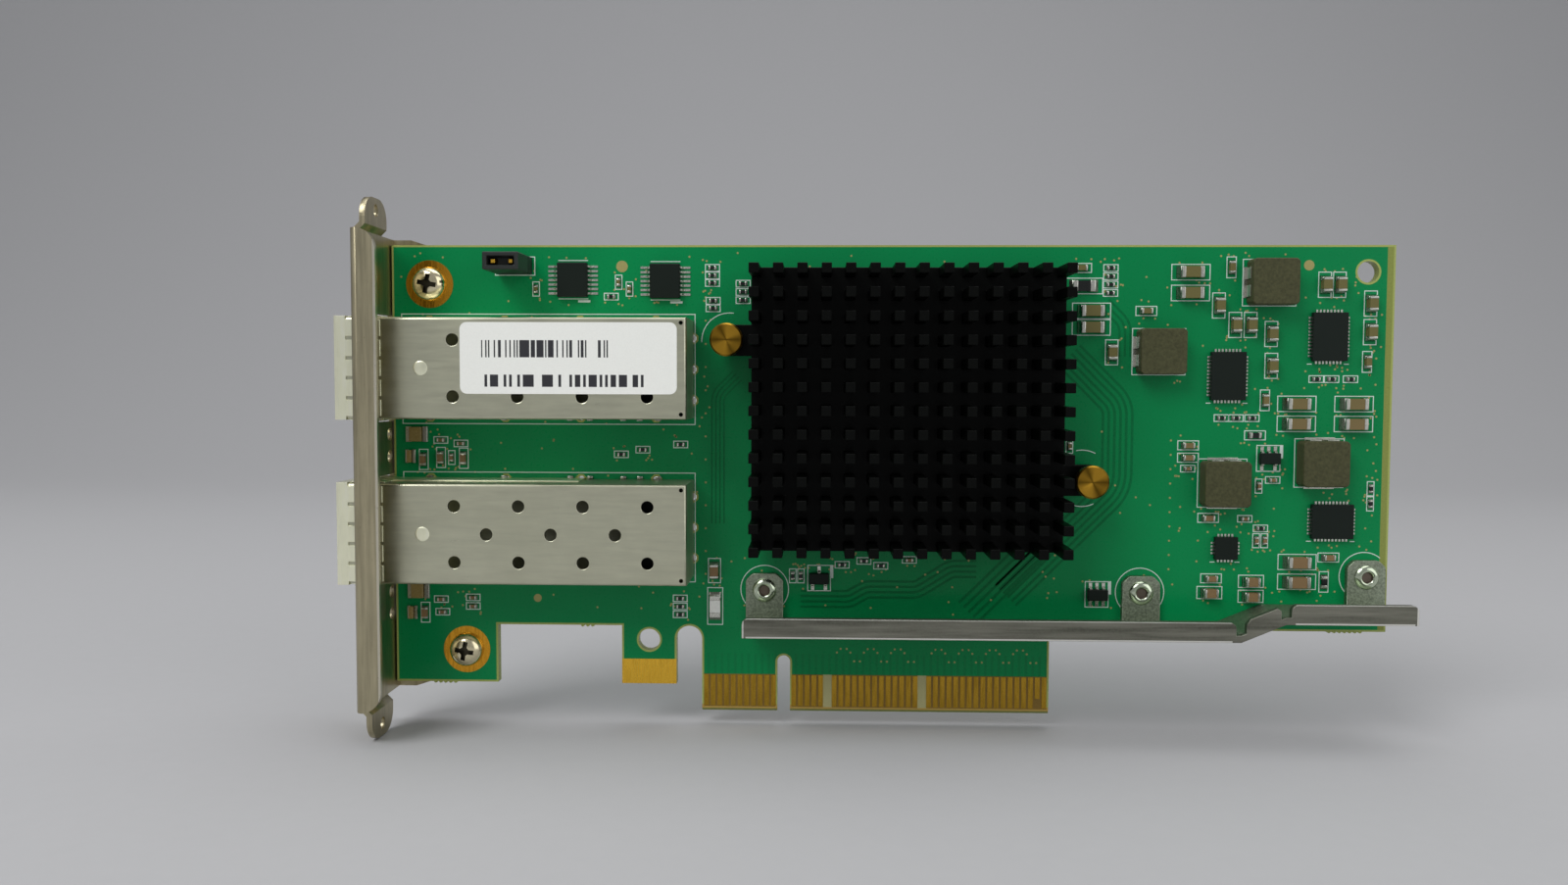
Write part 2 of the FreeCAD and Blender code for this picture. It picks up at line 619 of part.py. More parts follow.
def bracket_screws():
    """Pan-head cross-recess screws through the board into the bracket."""
    screws = []
    tip = BACK_FACE - SHEET - SCREW_STICK_OUT
    top = PLATING + SCREW_HEAD_HEIGHT
    steps = [(SCREW_RADIUS, tip), (SCREW_RADIUS, PLATING), (SCREW_HEAD_RADIUS, PLATING),
             (SCREW_HEAD_RADIUS, PLATING + SCREW_HEAD_HEIGHT * 0.45),
             (SCREW_HEAD_RADIUS * 0.85, PLATING + SCREW_HEAD_HEIGHT * 0.8),
             (SCREW_HEAD_RADIUS * 0.5, top)]
    for centre in screw_places():
        screw = turned(steps, centre)
        cross = block(centre, RECESS_LENGTH, RECESS_WIDTH, top - RECESS_DEPTH, top + 1)
        cross = cross.fuse(block(centre, RECESS_WIDTH, RECESS_LENGTH,
                                 top - RECESS_DEPTH, top + 1))
        screws.append(screw.cut(cross))
    return group(screws)


# ---------------------------------------------------------------- ports
def vent_places(middle):
    """Staggered vent holes in the top of a cage."""
    last = CAGE_REAR - VENT_INSET
    places = []
    for step in range(4):
        for sign in (-1, 1):
            places.append((last - step * VENT_PITCH, middle + sign * VENT_ROW))
    for step in range(3):
        places.append((last - (step + 0.5) * VENT_PITCH, middle))
    return places


def cage_cover(middle):
    """Top, side and rear walls of a cage, with legs through the board."""
    half = CAGE_WIDTH / 2
    cover = slab(CAGE_FRONT, CAGE_REAR, 0, CAGE_HEIGHT, middle - half, middle + half)
    inside = half - CAGE_SHEET
    cutters = [slab(CAGE_FRONT - 1, CAGE_REAR - CAGE_SHEET, -1, CAGE_HEIGHT - CAGE_SHEET,
                    middle - inside, middle + inside)]
    for place in vent_places(middle):
        cutters.append(peg(place, VENT_RADIUS, CAGE_HEIGHT - 1, CAGE_HEIGHT + 1))
    cover = cover.cut(cutters)
    sides, rears = leg_places(middle)
    legs = [block(place, LEG_WIDTH, CAGE_SHEET, -LEG_REACH, 0.5) for place in sides]
    legs.extend(block(place, CAGE_SHEET, LEG_WIDTH, -LEG_REACH, 0.5) for place in rears)
    return cover.fuse(legs).removeSplitter()


def cage_floor(middle):
    """Floor of a cage with upturned sides and the window of its latch."""
    half = CAGE_WIDTH / 2 - CAGE_SHEET - CAGE_FIT
    rear = HOUSING_FRONT - HOUSING_GAP
    floor = slab(CAGE_FRONT, rear, 0, FLOOR_WALL, middle - half, middle + half)
    inside = half - CAGE_SHEET
    hollow = slab(CAGE_FRONT - 1, rear + 1, CAGE_SHEET, FLOOR_WALL + 1,
                  middle - inside, middle + inside)
    start = LATCH_INSET - CARD_LEFT
    latch = prism([(start, middle - LATCH_WIDTH / 2), (start + LATCH_LENGTH, middle),
                   (start, middle + LATCH_WIDTH / 2)], -1, 1)
    return floor.cut([hollow, latch])


def finger_section(start, length, rise):
    """Section of a spring finger that bulges away from the cage."""
    crest = start + length * 0.45
    end = start + length
    return [(start, rise), (crest, rise + FINGER_BULGE), (end, rise),
            (end, rise + COLLAR_SHEET), (crest, rise + FINGER_BULGE + COLLAR_SHEET),
            (start, rise + COLLAR_SHEET)]


def spring_collar(middle):
    """Folded spring sheet round the mouth of a cage, fingers to the bracket."""
    front = CAGE_FRONT - COLLAR_OVERHANG
    rear = front + COLLAR_BAND
    half = CAGE_WIDTH / 2
    skin = COLLAR_SHEET
    band = slab(front, rear, -skin, CAGE_HEIGHT + skin, middle - half - skin,
                middle + half + skin)
    band = band.cut(slab(front - 1, rear + 1, 0, CAGE_HEIGHT, middle - half, middle + half))
    fingers = []
    top = finger_section(rear, FINGER_LENGTH, CAGE_HEIGHT)
    short = -CARD_LEFT - BRACKET_GAP - rear
    under = [(x, -h) for x, h in finger_section(rear, short, 0)]
    for step in (-2, -1, 0, 1, 2):
        z = middle + step * FINGER_PITCH
        fingers.append(strip(top, z - FINGER_WIDTH / 2, z + FINGER_WIDTH / 2))
        fingers.append(strip(under, z - FINGER_WIDTH / 2, z + FINGER_WIDTH / 2))
    for sign in (-1, 1):
        side = [(x, middle + sign * rise)
                for x, rise in finger_section(rear, FINGER_LENGTH, half)]
        for step in (-1, 0, 1):
            h = CAGE_HEIGHT / 2 + step * FINGER_PITCH
            fingers.append(prism(side, h - FINGER_WIDTH / 2, h + FINGER_WIDTH / 2))
    return band.fuse(fingers).removeSplitter()


def mouth(middle, h0, h1):
    """Room inside the connector for the edge of a module."""
    half = MOUTH_WIDTH / 2
    return slab(HOUSING_FRONT - 1, HOUSING_FRONT + MOUTH_DEPTH, h0, h1,
                middle - half, middle + half)


def port_connector(middle):
    housing = block(((HOUSING_FRONT + HOUSING_REAR) / 2, middle), HOUSING_LENGTH,
                    HOUSING_WIDTH, 0, HOUSING_HEIGHT)
    housing = housing.cut(mouth(middle, MOUTH_FLOOR, MOUTH_FLOOR + MOUTH_HEIGHT))
    bevel = slab(HOUSING_FRONT - 1, HOUSING_FRONT + HOUSING_BEVEL,
                 HOUSING_HEIGHT - HOUSING_BEVEL, HOUSING_HEIGHT + 1,
                 middle - HOUSING_WIDTH, middle + HOUSING_WIDTH)
    return housing.cut(bevel)


def connector_contacts(middle):
    """Two rows of contacts on the floor and roof of the connector's mouth."""
    contacts = []
    roof = MOUTH_FLOOR + MOUTH_HEIGHT
    x0 = HOUSING_FRONT + PIN_INSET
    x1 = HOUSING_FRONT + MOUTH_DEPTH
    for step in range(PINS_PER_ROW):
        z = middle + (step - (PINS_PER_ROW - 1) / 2) * PIN_PITCH
        z0 = z - PIN_WIDTH / 2
        z1 = z + PIN_WIDTH / 2
        contacts.append(slab(x0, x1, MOUTH_FLOOR, MOUTH_FLOOR + PIN_SHEET, z0, z1))
        contacts.append(slab(x0, x1, roof - PIN_SHEET, roof, z0, z1))
    return group(contacts)


def port_label(middle):
    """Paper label on the top of the upper cage."""
    x1 = CAGE_REAR - LABEL_REAR_INSET
    z1 = middle + CAGE_WIDTH / 2 - LABEL_SIDE_INSET
    label = slab(x1 - LABEL_LENGTH, x1, CAGE_HEIGHT, CAGE_HEIGHT + LABEL_SHEET,
                 z1 - LABEL_WIDTH, z1)
    across = FreeCAD.Vector(0, 1, 0)
    return label.makeFillet(LABEL_CORNER, edges_along(label, across, lambda point: True))


# ---------------------------------------------------------------- heat sink
def heat_sink():
    """Black pin-fin sink: a block crossed by channels, with two ears."""
    centre = grid(SINK_PLACE)
    x0 = centre[0] - SINK_LENGTH / 2
    z0 = centre[1] - SINK_WIDTH / 2
    sink = block(centre, SINK_LENGTH, SINK_WIDTH, SINK_BOTTOM, SINK_TOP)
    column_pitch = (SINK_LENGTH - FIN_WIDTH) / (SINK_COLUMNS - 1)
    row_pitch = (SINK_WIDTH - FIN_WIDTH) / (SINK_ROWS - 1)
    channels = []
    for step in range(SINK_COLUMNS - 1):
        x = x0 + FIN_WIDTH + step * column_pitch
        channels.append(slab(x, x + column_pitch - FIN_WIDTH, SINK_FLOOR, SINK_TOP + 1,
                             z0 - 1, z0 + SINK_WIDTH + 1))
    for step in range(SINK_ROWS - 1):
        z = z0 + FIN_WIDTH + step * row_pitch
        channels.append(slab(x0 - 1, x0 + SINK_LENGTH + 1, SINK_FLOOR, SINK_TOP + 1,
                             z, z + row_pitch - FIN_WIDTH))
    sink = sink.cut(channels)
    for place in push_pin_places():
        ear = peg(place, EAR_RADIUS, SINK_BOTTOM, SINK_FLOOR)
        inward = 1 if place[0] < centre[0] else -1
        neck = EAR_REACH - SINK_LENGTH / 2 + FIN_WIDTH
        width = 2 * EAR_RADIUS * math.cos(math.pi / ROUND_SIDES)
        bridge = block((place[0] + inward * neck / 2, place[1]), neck, width,
                       SINK_BOTTOM, SINK_FLOOR)
        hole = peg(place, PUSH_HOLE_RADIUS, SINK_BOTTOM - 1, SINK_FLOOR + 1)
        sink = sink.fuse([ear, bridge]).cut(hole)
    return sink.removeSplitter()


def thermal_pad():
    return block(grid(SINK_PLACE), PAD_SIZE, PAD_SIZE, CHIP_TOP, SINK_BOTTOM)


def controller_substrate():
    return block(grid(SINK_PLACE), CHIP_SIZE, CHIP_SIZE, 0, CHIP_SUBSTRATE)


def controller_lid():
    return block(grid(SINK_PLACE), CHIP_LID_SIZE, CHIP_LID_SIZE, CHIP_SUBSTRATE, CHIP_TOP)


def push_pins():
    """Brass push pins with a split barb behind the board."""
    pins = []
    top = HEAD_BOTTOM + PUSH_HEAD_HEIGHT
    tip = BACK_FACE - BARB_LENGTH
    steps = [(BARB_TIP_RADIUS, tip), (BARB_RADIUS, BACK_FACE - BARB_RIM),
             (BARB_RADIUS, BACK_FACE), (PUSH_PIN_RADIUS, BACK_FACE),
             (PUSH_PIN_RADIUS, HEAD_BOTTOM), (PUSH_HEAD_RADIUS, HEAD_BOTTOM),
             (PUSH_HEAD_RADIUS, top - PUSH_HEAD_BEVEL),
             (PUSH_HEAD_RADIUS - PUSH_HEAD_BEVEL, top)]
    for place in push_pin_places():
        pin = turned(steps, place)
        split = block(place, 2 * BARB_RADIUS + 1, BARB_SPLIT, tip - 1,
                      BACK_FACE - BARB_RIM)
        pins.append(pin.cut(split))
    return group(pins)


def wire_section(radius, angle, rise):
    """Square section of spring wire at one angle of its coil."""
    half = SPRING_WIRE / 2
    corners = []
    for out, up in ((-half, -half), (half, -half), (half, half), (-half, half)):
        reach = radius + out
        corners.append(FreeCAD.Vector(reach * math.cos(angle), -rise - up,
                                      reach * math.sin(angle)))
    return Part.makePolygon(corners + corners[:1])


def push_pin_springs():
    """Coil springs between the ears of the sink and the heads of the pins."""
    springs = []
    radius = PUSH_PIN_RADIUS + SPRING_GAP + SPRING_WIRE / 2
    low = SINK_FLOOR + SPRING_WIRE / 2
    travel = HEAD_BOTTOM - SINK_FLOOR - SPRING_WIRE
    steps = SPRING_TURNS * SPRING_SIDES
    sections = []
    for step in range(steps + 1):
        angle = 2 * math.pi * step / SPRING_SIDES
        sections.append(wire_section(radius, angle, low + travel * step / steps))
    coil = Part.makeLoft(sections, True, True)
    for x, z in push_pin_places():
        spring = coil.copy()
        spring.translate(FreeCAD.Vector(x, 0, z))
        springs.append(spring)
    return group(springs)


# ---------------------------------------------------------------- stiffener
def stiffener_bar():
    """Folded bar: a web square to the board, a front lip and three feet."""
    low = BAR_BOTTOM
    high = BAR_BOTTOM + BAR_STEP
    left = grid((BAR_LEFT, 0))[0]
    right = grid((BAR_RIGHT, 0))[0]
    start = grid((STEP_START, 0))[0]
    end = grid((STEP_END, 0))[0]
    web = prism([(left, low), (start, low), (end, high), (right, high),
                 (right, high + BAR_SHEET), (end, high + BAR_SHEET),
                 (start, low + BAR_SHEET), (left, low + BAR_SHEET)], 0, BAR_REACH)
    inner = BAR_REACH - BAR_SHEET
    across = FreeCAD.Vector(0, 1, 0)
    slope = BAR_STEP / (end - start)
    pieces = []
    for x0, x1, rise0, rise1 in ((left, start - LIP_NOTCH, low, low),
                                 (start + LIP_NOTCH, end - LIP_NOTCH,
                                  low + slope * LIP_NOTCH, high - slope * LIP_NOTCH),
                                 (end + LIP_NOTCH, right, high, high)):
        lip = prism([(x0, rise0), (x1, rise1), (x1, rise1 + BAR_LIP),
                     (x0, rise0 + BAR_LIP)], inner, BAR_REACH)
        tops = (rise0 + BAR_LIP, rise1 + BAR_LIP)
        corners = edges_along(lip, across, lambda p: min(abs(p.z - t) for t in tops) < 1e-6)
        pieces.append(lip.makeChamfer(LIP_CORNER, corners))
    for place in rivet_places():
        base = place[1] - RIVET_HEIGHT
        foot = slab(place[0] - FOOT_WIDTH / 2, place[0] + FOOT_WIDTH / 2, 0, BAR_SHEET,
                    base, base + FOOT_HEIGHT)
        corners = edges_along(foot, across, lambda p: p.z > base + 1)
        foot = foot.makeChamfer(FOOT_CORNER, corners)
        hole = peg(place, RIVET_RADIUS + RIVET_CLEARANCE, -1, BAR_SHEET + 1)
        pieces.append(foot.cut(hole))
    return web.fuse(pieces).removeSplitter()


def stiffener_rivets():
    """Hollow rivets through the feet of the bar and the board."""
    rivets = []
    head = BAR_SHEET + RIVET_HEAD
    back = BACK_FACE - RIVET_HEAD
    steps = [(RIVET_HEAD_RADIUS * 0.9, back), (RIVET_HEAD_RADIUS, BACK_FACE),
             (RIVET_RADIUS, BACK_FACE), (RIVET_RADIUS, BAR_SHEET),
             (RIVET_HEAD_RADIUS, BAR_SHEET),
             (RIVET_HEAD_RADIUS, BAR_SHEET + RIVET_HEAD * 0.5),
             (RIVET_HEAD_RADIUS * 0.7, head)]
    for place in rivet_places():
        rivets.append(turned(steps, place).cut(peg(place, RIVET_BORE, back - 1, head + 1)))
    return group(rivets)


# ---------------------------------------------------------------- small parts
def chip_bodies(places, size, along_x, ends):
    """Ceramic bodies of chip parts; the ends are left off where wanted."""
    length, width, height = size
    core = length * (1 - 2 * END_CAP_SHARE) if ends else length
    sides = (core, width) if along_x else (width, core)
    return [block(grid(place), sides[0], sides[1], 0, height) for place in places]


def chip_ends(places, size, along_x):
    """Tinned ends of chip parts."""
    length, width, height = size
    cap = length * END_CAP_SHARE
    shift = (length - cap) / 2
    solids = []
    for place in places:
        x, z = grid(place)
        for sign in (-1, 1):
            if along_x:
                solids.append(block((x + sign * shift, z), cap, width, 0, height))
            else:
                solids.append(block((x, z + sign * shift), width, cap, 0, height))
    return solids


def large_capacitor_bodies():
    return group(chip_bodies(LARGE_CAPS_ALONG_X, CHIP_1206, True, True))


def large_capacitor_ends():
    return group(chip_ends(LARGE_CAPS_ALONG_X, CHIP_1206, True))


def medium_capacitor_bodies():
    return group(chip_bodies(MEDIUM_CAPS_ALONG_X, CHIP_0805, True, True)
                 + chip_bodies(MEDIUM_CAPS_ALONG_Z, CHIP_0805, False, True))


def medium_capacitor_ends():
    return group(chip_ends(MEDIUM_CAPS_ALONG_X, CHIP_0805, True)
                 + chip_ends(MEDIUM_CAPS_ALONG_Z, CHIP_0805, False))


def small_capacitor_bodies():
    return group(chip_bodies(SMALL_CAPS_ALONG_X, CHIP_0603, True, True)
                 + chip_bodies(SMALL_CAPS_ALONG_Z, CHIP_0603, False, True))


def small_capacitor_ends():
    return group(chip_ends(SMALL_CAPS_ALONG_X, CHIP_0603, True)
                 + chip_ends(SMALL_CAPS_ALONG_Z, CHIP_0603, False))


def tiny_capacitors():
    return group(chip_bodies(TINY_CAPS_ALONG_X, CHIP_0402, True, False)
                 + chip_bodies(TINY_CAPS_ALONG_Z, CHIP_0402, False, False))


def resistors():
    return group(chip_bodies(RESISTORS_ALONG_X, FLAT_0402, True, False)
                 + chip_bodies(RESISTORS_ALONG_Z, FLAT_0402, False, False)
                 + chip_bodies(BIG_RESISTORS_ALONG_X, FLAT_0603, True, False)
                 + chip_bodies(BIG_RESISTORS_ALONG_Z, FLAT_0603, False, False)
                 + chip_bodies((ARRAY_PLACE,), FLAT_1206, True, False))


def fuse_body():
    return group(chip_bodies((FUSE_PLACE,), FLAT_1206, False, True))


def fuse_ends():
    return group(chip_ends((FUSE_PLACE,), FLAT_1206, False))


def power_inductors():
    solids = []
    across = FreeCAD.Vector(0, 1, 0)
    for place in COILS_ALONG_X + COILS_ALONG_Z:
        body = block(grid(place), COIL_SIZE, COIL_SIZE, 0, COIL_HEIGHT)
        solids.append(body.makeChamfer(COIL_CORNER,
                                       edges_along(body, across, lambda point: True)))
    return group(solids)


def inductor_terminals():
    """Folded metal terminals on two sides of every inductor."""
    solids = []
    shift = (COIL_SIZE + TERMINAL_SHEET) / 2
    for sign in (-1, 1):
        for place in COILS_ALONG_X:
            x, z = grid(place)
            solids.append(block((x + sign * shift, z), TERMINAL_SHEET, TERMINAL_WIDTH,
                                0, TERMINAL_HEIGHT))
        for place in COILS_ALONG_Z:
            x, z = grid(place)
            solids.append(block((x, z + sign * shift), TERMINAL_WIDTH, TERMINAL_SHEET,
                                0, TERMINAL_HEIGHT))
    return group(solids)


def flat_chips():
    """Leadless power chips."""
    solids = []
    for places, size in ((TALL_FLAT_CHIPS, TALL_CHIP), (LONG_FLAT_CHIPS, LONG_CHIP),
                         (SMALL_FLAT_CHIPS, SMALL_CHIP)):
        for place in places:
            solids.append(block(grid(place), size[0], size[1], 0, FLAT_CHIP_HEIGHT))
    return group(solids)


def lead_section(edge, reach, sign):
    """Gull-wing lead as distance from the chip's middle and height."""
    shoulder = LEADED_CHIP_LIFT + LEADED_CHIP_HEIGHT / 2
    return [(sign * edge, shoulder), (sign * (edge + reach * 0.25), shoulder),
            (sign * (edge + reach * 0.6), LEAD_SHEET), (sign * (edge + reach), LEAD_SHEET),
            (sign * (edge + reach), 0), (sign * (edge + reach * 0.4), 0),
            (sign * edge, shoulder - LEAD_SHEET)]


def amplifier_chips():
    top = LEADED_CHIP_LIFT + LEADED_CHIP_HEIGHT
    return group([block(grid(place), AMPLIFIER_WIDTH, AMPLIFIER_LENGTH,
                        LEADED_CHIP_LIFT, top) for place in AMPLIFIERS])


def amplifier_leads():
    solids = []
    for place in AMPLIFIERS:
        x, z = grid(place)
        for sign in (-1, 1):
            section = [(x + dx, h)
                       for dx, h in lead_section(AMPLIFIER_WIDTH / 2, LEAD_REACH, sign)]
            for step in range(LEADS_PER_SIDE):
                middle = z + (step - (LEADS_PER_SIDE - 1) / 2) * LEAD_PITCH
                solids.append(strip(section, middle - LEAD_WIDTH / 2,
                                    middle + LEAD_WIDTH / 2))
    return group(solids)


def transistor_chips():
    top = LEADED_CHIP_LIFT + LEADED_CHIP_HEIGHT
    return group([block(grid((column, row)), SOT_LENGTH, SOT_WIDTH, LEADED_CHIP_LIFT, top)
                  for column, row, above, below in SOT_CHIPS])


def transistor_leads():
    solids = []
    for column, row, above, below in SOT_CHIPS:
        x, z = grid((column, row))
        for sign, count in ((1, above), (-1, below)):
            section = [(h, z + dz)
                       for dz, h in lead_section(SOT_WIDTH / 2, SOT_LEAD_REACH, sign)]
            spread = 2 * SOT_PITCH / (count - 1) if count > 1 else 0
            for step in range(count):
                middle = x + (step - (count - 1) / 2) * spread
                solids.append(rail(section, middle - SOT_LEAD_WIDTH / 2,
                                   middle + SOT_LEAD_WIDTH / 2))
    return group(solids)


def status_lights():
    """Surface-mounted lights behind the holes of the bracket."""
    solids = []
    insets = (LARGE_LIGHT_INSET, SMALL_LIGHT_INSET)
    for inset, size, rows in zip(insets, (LARGE_LIGHT, SMALL_LIGHT), light_rows()):
        x = inset - CARD_LEFT
        solids.extend(block((x, z), size[0], size[1], 0, size[2]) for z in rows)
    return group(solids)


# ---------------------------------------------------------------- jumper
def header_pin_places():
    x, z = grid(HEADER_PLACE)
    return (x - HEADER_PITCH / 2, z), (x + HEADER_PITCH / 2, z)


def header_base():
    base = block(grid(HEADER_PLACE), 2 * HEADER_PITCH, HEADER_WIDTH, 0, HEADER_BASE)
    holes = [block(place, HEADER_PIN, HEADER_PIN, -1, HEADER_BASE + 1)
             for place in header_pin_places()]
    return base.cut(holes)


def header_pins():
    return group([block(place, HEADER_PIN, HEADER_PIN, -HEADER_TAIL, HEADER_PIN_TOP)
                  for place in header_pin_places()])


def jumper_cap():
    """Open-topped jumper pushed down over both pins."""
    centre = grid(HEADER_PLACE)
    cap = block(centre, 2 * HEADER_PITCH, HEADER_WIDTH, HEADER_BASE, CAP_TOP)
    window = block(centre, 2 * HEADER_PITCH - 2 * CAP_WALL, HEADER_WIDTH - 2 * CAP_WALL,
                   HEADER_PIN_TOP - CAP_WINDOW, CAP_TOP + 1)
    holes = [block(place, HEADER_PIN + 2 * CAP_FIT, HEADER_PIN + 2 * CAP_FIT,
                   HEADER_BASE - 1, CAP_TOP + 1) for place in header_pin_places()]
    return cap.cut([window] + holes)


# ---------------------------------------------------------------- the card
def card():
    """Every piece of the card, by name."""
    upper, lower = port_middles()
    pieces = {
        "circuit_board": circuit_board(),
        "edge_contacts_front": edge_contacts_front(),
        "edge_contacts_back": edge_contacts_back(),
        "ground_pads": ground_pads(),
        "bracket": bracket(),
        "bracket_screws": bracket_screws(),
        "port_label": port_label(upper),
        "heat_sink": heat_sink(),
        "thermal_pad": thermal_pad(),
        "controller_substrate": controller_substrate(),
        "controller_lid": controller_lid(),
        "push_pins": push_pins(),
        "push_pin_springs": push_pin_springs(),
        "stiffener_bar": stiffener_bar(),
        "stiffener_rivets": stiffener_rivets(),
        "large_capacitor_bodies": large_capacitor_bodies(),
        "large_capacitor_ends": large_capacitor_ends(),
        "medium_capacitor_bodies": medium_capacitor_bodies(),
        "medium_capacitor_ends": medium_capacitor_ends(),
        "small_capacitor_bodies": small_capacitor_bodies(),
        "small_capacitor_ends": small_capacitor_ends(),
        "tiny_capacitors": tiny_capacitors(),
        "resistors": resistors(),
        "fuse_body": fuse_body(),
        "fuse_ends": fuse_ends(),
        "power_inductors": power_inductors(),
        "inductor_terminals": inductor_terminals(),
        "flat_chips": flat_chips(),
        "amplifier_chips": amplifier_chips(),
        "amplifier_leads": amplifier_leads(),
        "transistor_chips": transistor_chips(),
        "transistor_leads": transistor_leads(),
        "status_lights": status_lights(),
        "header_base": header_base(),
        "header_pins": header_pins(),
        "jumper_cap": jumper_cap(),
    }
    for name, middle in (("upper", upper), ("lower", lower)):
        pieces[name + "_cage_cover"] = cage_cover(middle)
        pieces[name + "_cage_floor"] = cage_floor(middle)
        pieces[name + "_spring_collar"] = spring_collar(middle)
        pieces[name + "_port_connector"] = port_connector(middle)
        pieces[name + "_connector_contacts"] = connector_contacts(middle)
    return pieces


def main():
    os.makedirs("parts", exist_ok=True)
    for name, shape in card().items():
        shape.exportStep(os.path.join("parts", name + ".step"))
        print(name, len(shape.Solids), "solids", round(shape.Volume, 3), "mm3",
              "" if shape.isValid() else "NOT VALID")


main()
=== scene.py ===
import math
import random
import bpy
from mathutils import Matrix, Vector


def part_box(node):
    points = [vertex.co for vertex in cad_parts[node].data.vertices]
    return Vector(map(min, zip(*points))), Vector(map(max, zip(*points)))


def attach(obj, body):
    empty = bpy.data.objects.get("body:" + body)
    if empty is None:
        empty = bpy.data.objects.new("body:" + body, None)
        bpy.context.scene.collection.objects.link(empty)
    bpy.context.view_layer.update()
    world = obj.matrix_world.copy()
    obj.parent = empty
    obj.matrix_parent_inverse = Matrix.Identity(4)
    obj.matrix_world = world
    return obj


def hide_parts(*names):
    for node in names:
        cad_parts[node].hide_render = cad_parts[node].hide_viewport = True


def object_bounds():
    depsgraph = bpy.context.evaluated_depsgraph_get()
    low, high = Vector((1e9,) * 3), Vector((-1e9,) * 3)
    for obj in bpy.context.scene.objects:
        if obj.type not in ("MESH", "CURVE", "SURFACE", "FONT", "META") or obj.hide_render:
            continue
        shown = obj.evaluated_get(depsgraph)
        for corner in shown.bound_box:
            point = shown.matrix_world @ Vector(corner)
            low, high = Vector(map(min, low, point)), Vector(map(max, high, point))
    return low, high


bl_info = {
    "name": "Network Interface Card",
    "version": (1, 0, 0),
    "blender": (4, 5, 0),
    "location": "3D View > Sidebar > Card",
    "description": "Dresses a two-port network interface card and lights its stage",
    "category": "Object",
}

import bmesh
import bpy
from mathutils import Matrix, Vector

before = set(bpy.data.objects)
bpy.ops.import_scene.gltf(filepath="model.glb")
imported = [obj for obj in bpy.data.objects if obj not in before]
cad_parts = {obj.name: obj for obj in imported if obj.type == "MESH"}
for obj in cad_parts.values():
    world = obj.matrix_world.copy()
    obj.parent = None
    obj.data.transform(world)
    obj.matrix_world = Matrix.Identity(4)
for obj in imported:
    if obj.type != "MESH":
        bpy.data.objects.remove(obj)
CAD_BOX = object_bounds()
MM = 0.001
WELD = 1e-6            # points of the CAD meshes nearer than this are one
CLOSE = 1e-7           # the same for meshes made here
JOIN = 2e-5            # an end this near a body belongs to it
SHEET = 0.25 * MM      # sheet of the port cages
SHELF = 12.7           # height of the board's lower edge beside the tongue
RIVET_RING = 3.6 * MM  # printed rings round the rivets
PIN_RING = 4.2 * MM    # printed arcs round the push pins
VENT_RADIUS = 0.86 * MM
VENT_PITCH = 9.1 * MM
VENT_ASIDE = 3.97 * MM    # outer rows of vents from the middle of a cage
VENT_INSET = 5.5 * MM     # last vent from the rear of a cage
PAD_PITCH = 0.5 * MM      # pads of the leadless chips
FLOOR_FRONT, FLOOR_DEPTH, FLOOR_HALF = -1.6, 2.0, 2.5
FLOOR_SWEEP, WALL_HEIGHT = 0.7, 1.5
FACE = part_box("circuit_board")[0].y      # component face of the board
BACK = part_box("circuit_board")[1].y


# ------------------------------------------------------------ user settings
class CardColours(bpy.types.PropertyGroup):
    """Colours of the card's finishes."""

    mask: bpy.props.FloatVectorProperty(
        name="Solder mask", description="Lacquer on both faces of the board",
        subtype="COLOR", size=3, min=0, max=1, default=(0.0, 0.25, 0.072))
    mask_dark: bpy.props.FloatVectorProperty(
        name="Mask over bare laminate", description="Lacquer where no copper lies under it",
        subtype="COLOR", size=3, min=0, max=1, default=(0.0, 0.14, 0.042))
    laminate: bpy.props.FloatVectorProperty(
        name="Laminate", description="Cut edges of the board",
        subtype="COLOR", size=3, min=0, max=1, default=(0.28, 0.32, 0.08))
    gold: bpy.props.FloatVectorProperty(
        name="Gold", description="Edge contacts and plated pads",
        subtype="COLOR", size=3, min=0, max=1, default=(0.88, 0.52, 0.055))
    legend: bpy.props.FloatVectorProperty(
        name="Legend", description="White outlines printed on the board",
        subtype="COLOR", size=3, min=0, max=1, default=(0.66, 0.76, 0.70))
    steel: bpy.props.FloatVectorProperty(
        name="Steel", description="Bracket, screws and stiffener",
        subtype="COLOR", size=3, min=0, max=1, default=(0.47, 0.42, 0.28))
    nickel: bpy.props.FloatVectorProperty(
        name="Nickel", description="Port cages and their collars",
        subtype="COLOR", size=3, min=0, max=1, default=(0.58, 0.58, 0.44))
    brass: bpy.props.FloatVectorProperty(
        name="Brass", description="Push pins of the heat sink",
        subtype="COLOR", size=3, min=0, max=1, default=(0.34, 0.19, 0.02))
    ceramic: bpy.props.FloatVectorProperty(
        name="Ceramic", description="Bodies of the capacitors",
        subtype="COLOR", size=3, min=0, max=1, default=(0.25, 0.16, 0.075))
    ferrite: bpy.props.FloatVectorProperty(
        name="Ferrite", description="Pressed bodies of the inductors",
        subtype="COLOR", size=3, min=0, max=1, default=(0.066, 0.067, 0.030))
    zinc: bpy.props.FloatVectorProperty(
        name="Zinc", description="Stiffener bar and its rivets",
        subtype="COLOR", size=3, min=0, max=1, default=(0.29, 0.33, 0.25))
    anodised: bpy.props.FloatVectorProperty(
        name="Anodised black", description="Heat sink",
        subtype="COLOR", size=3, min=0, max=1, default=(0.0014, 0.0018, 0.0014))


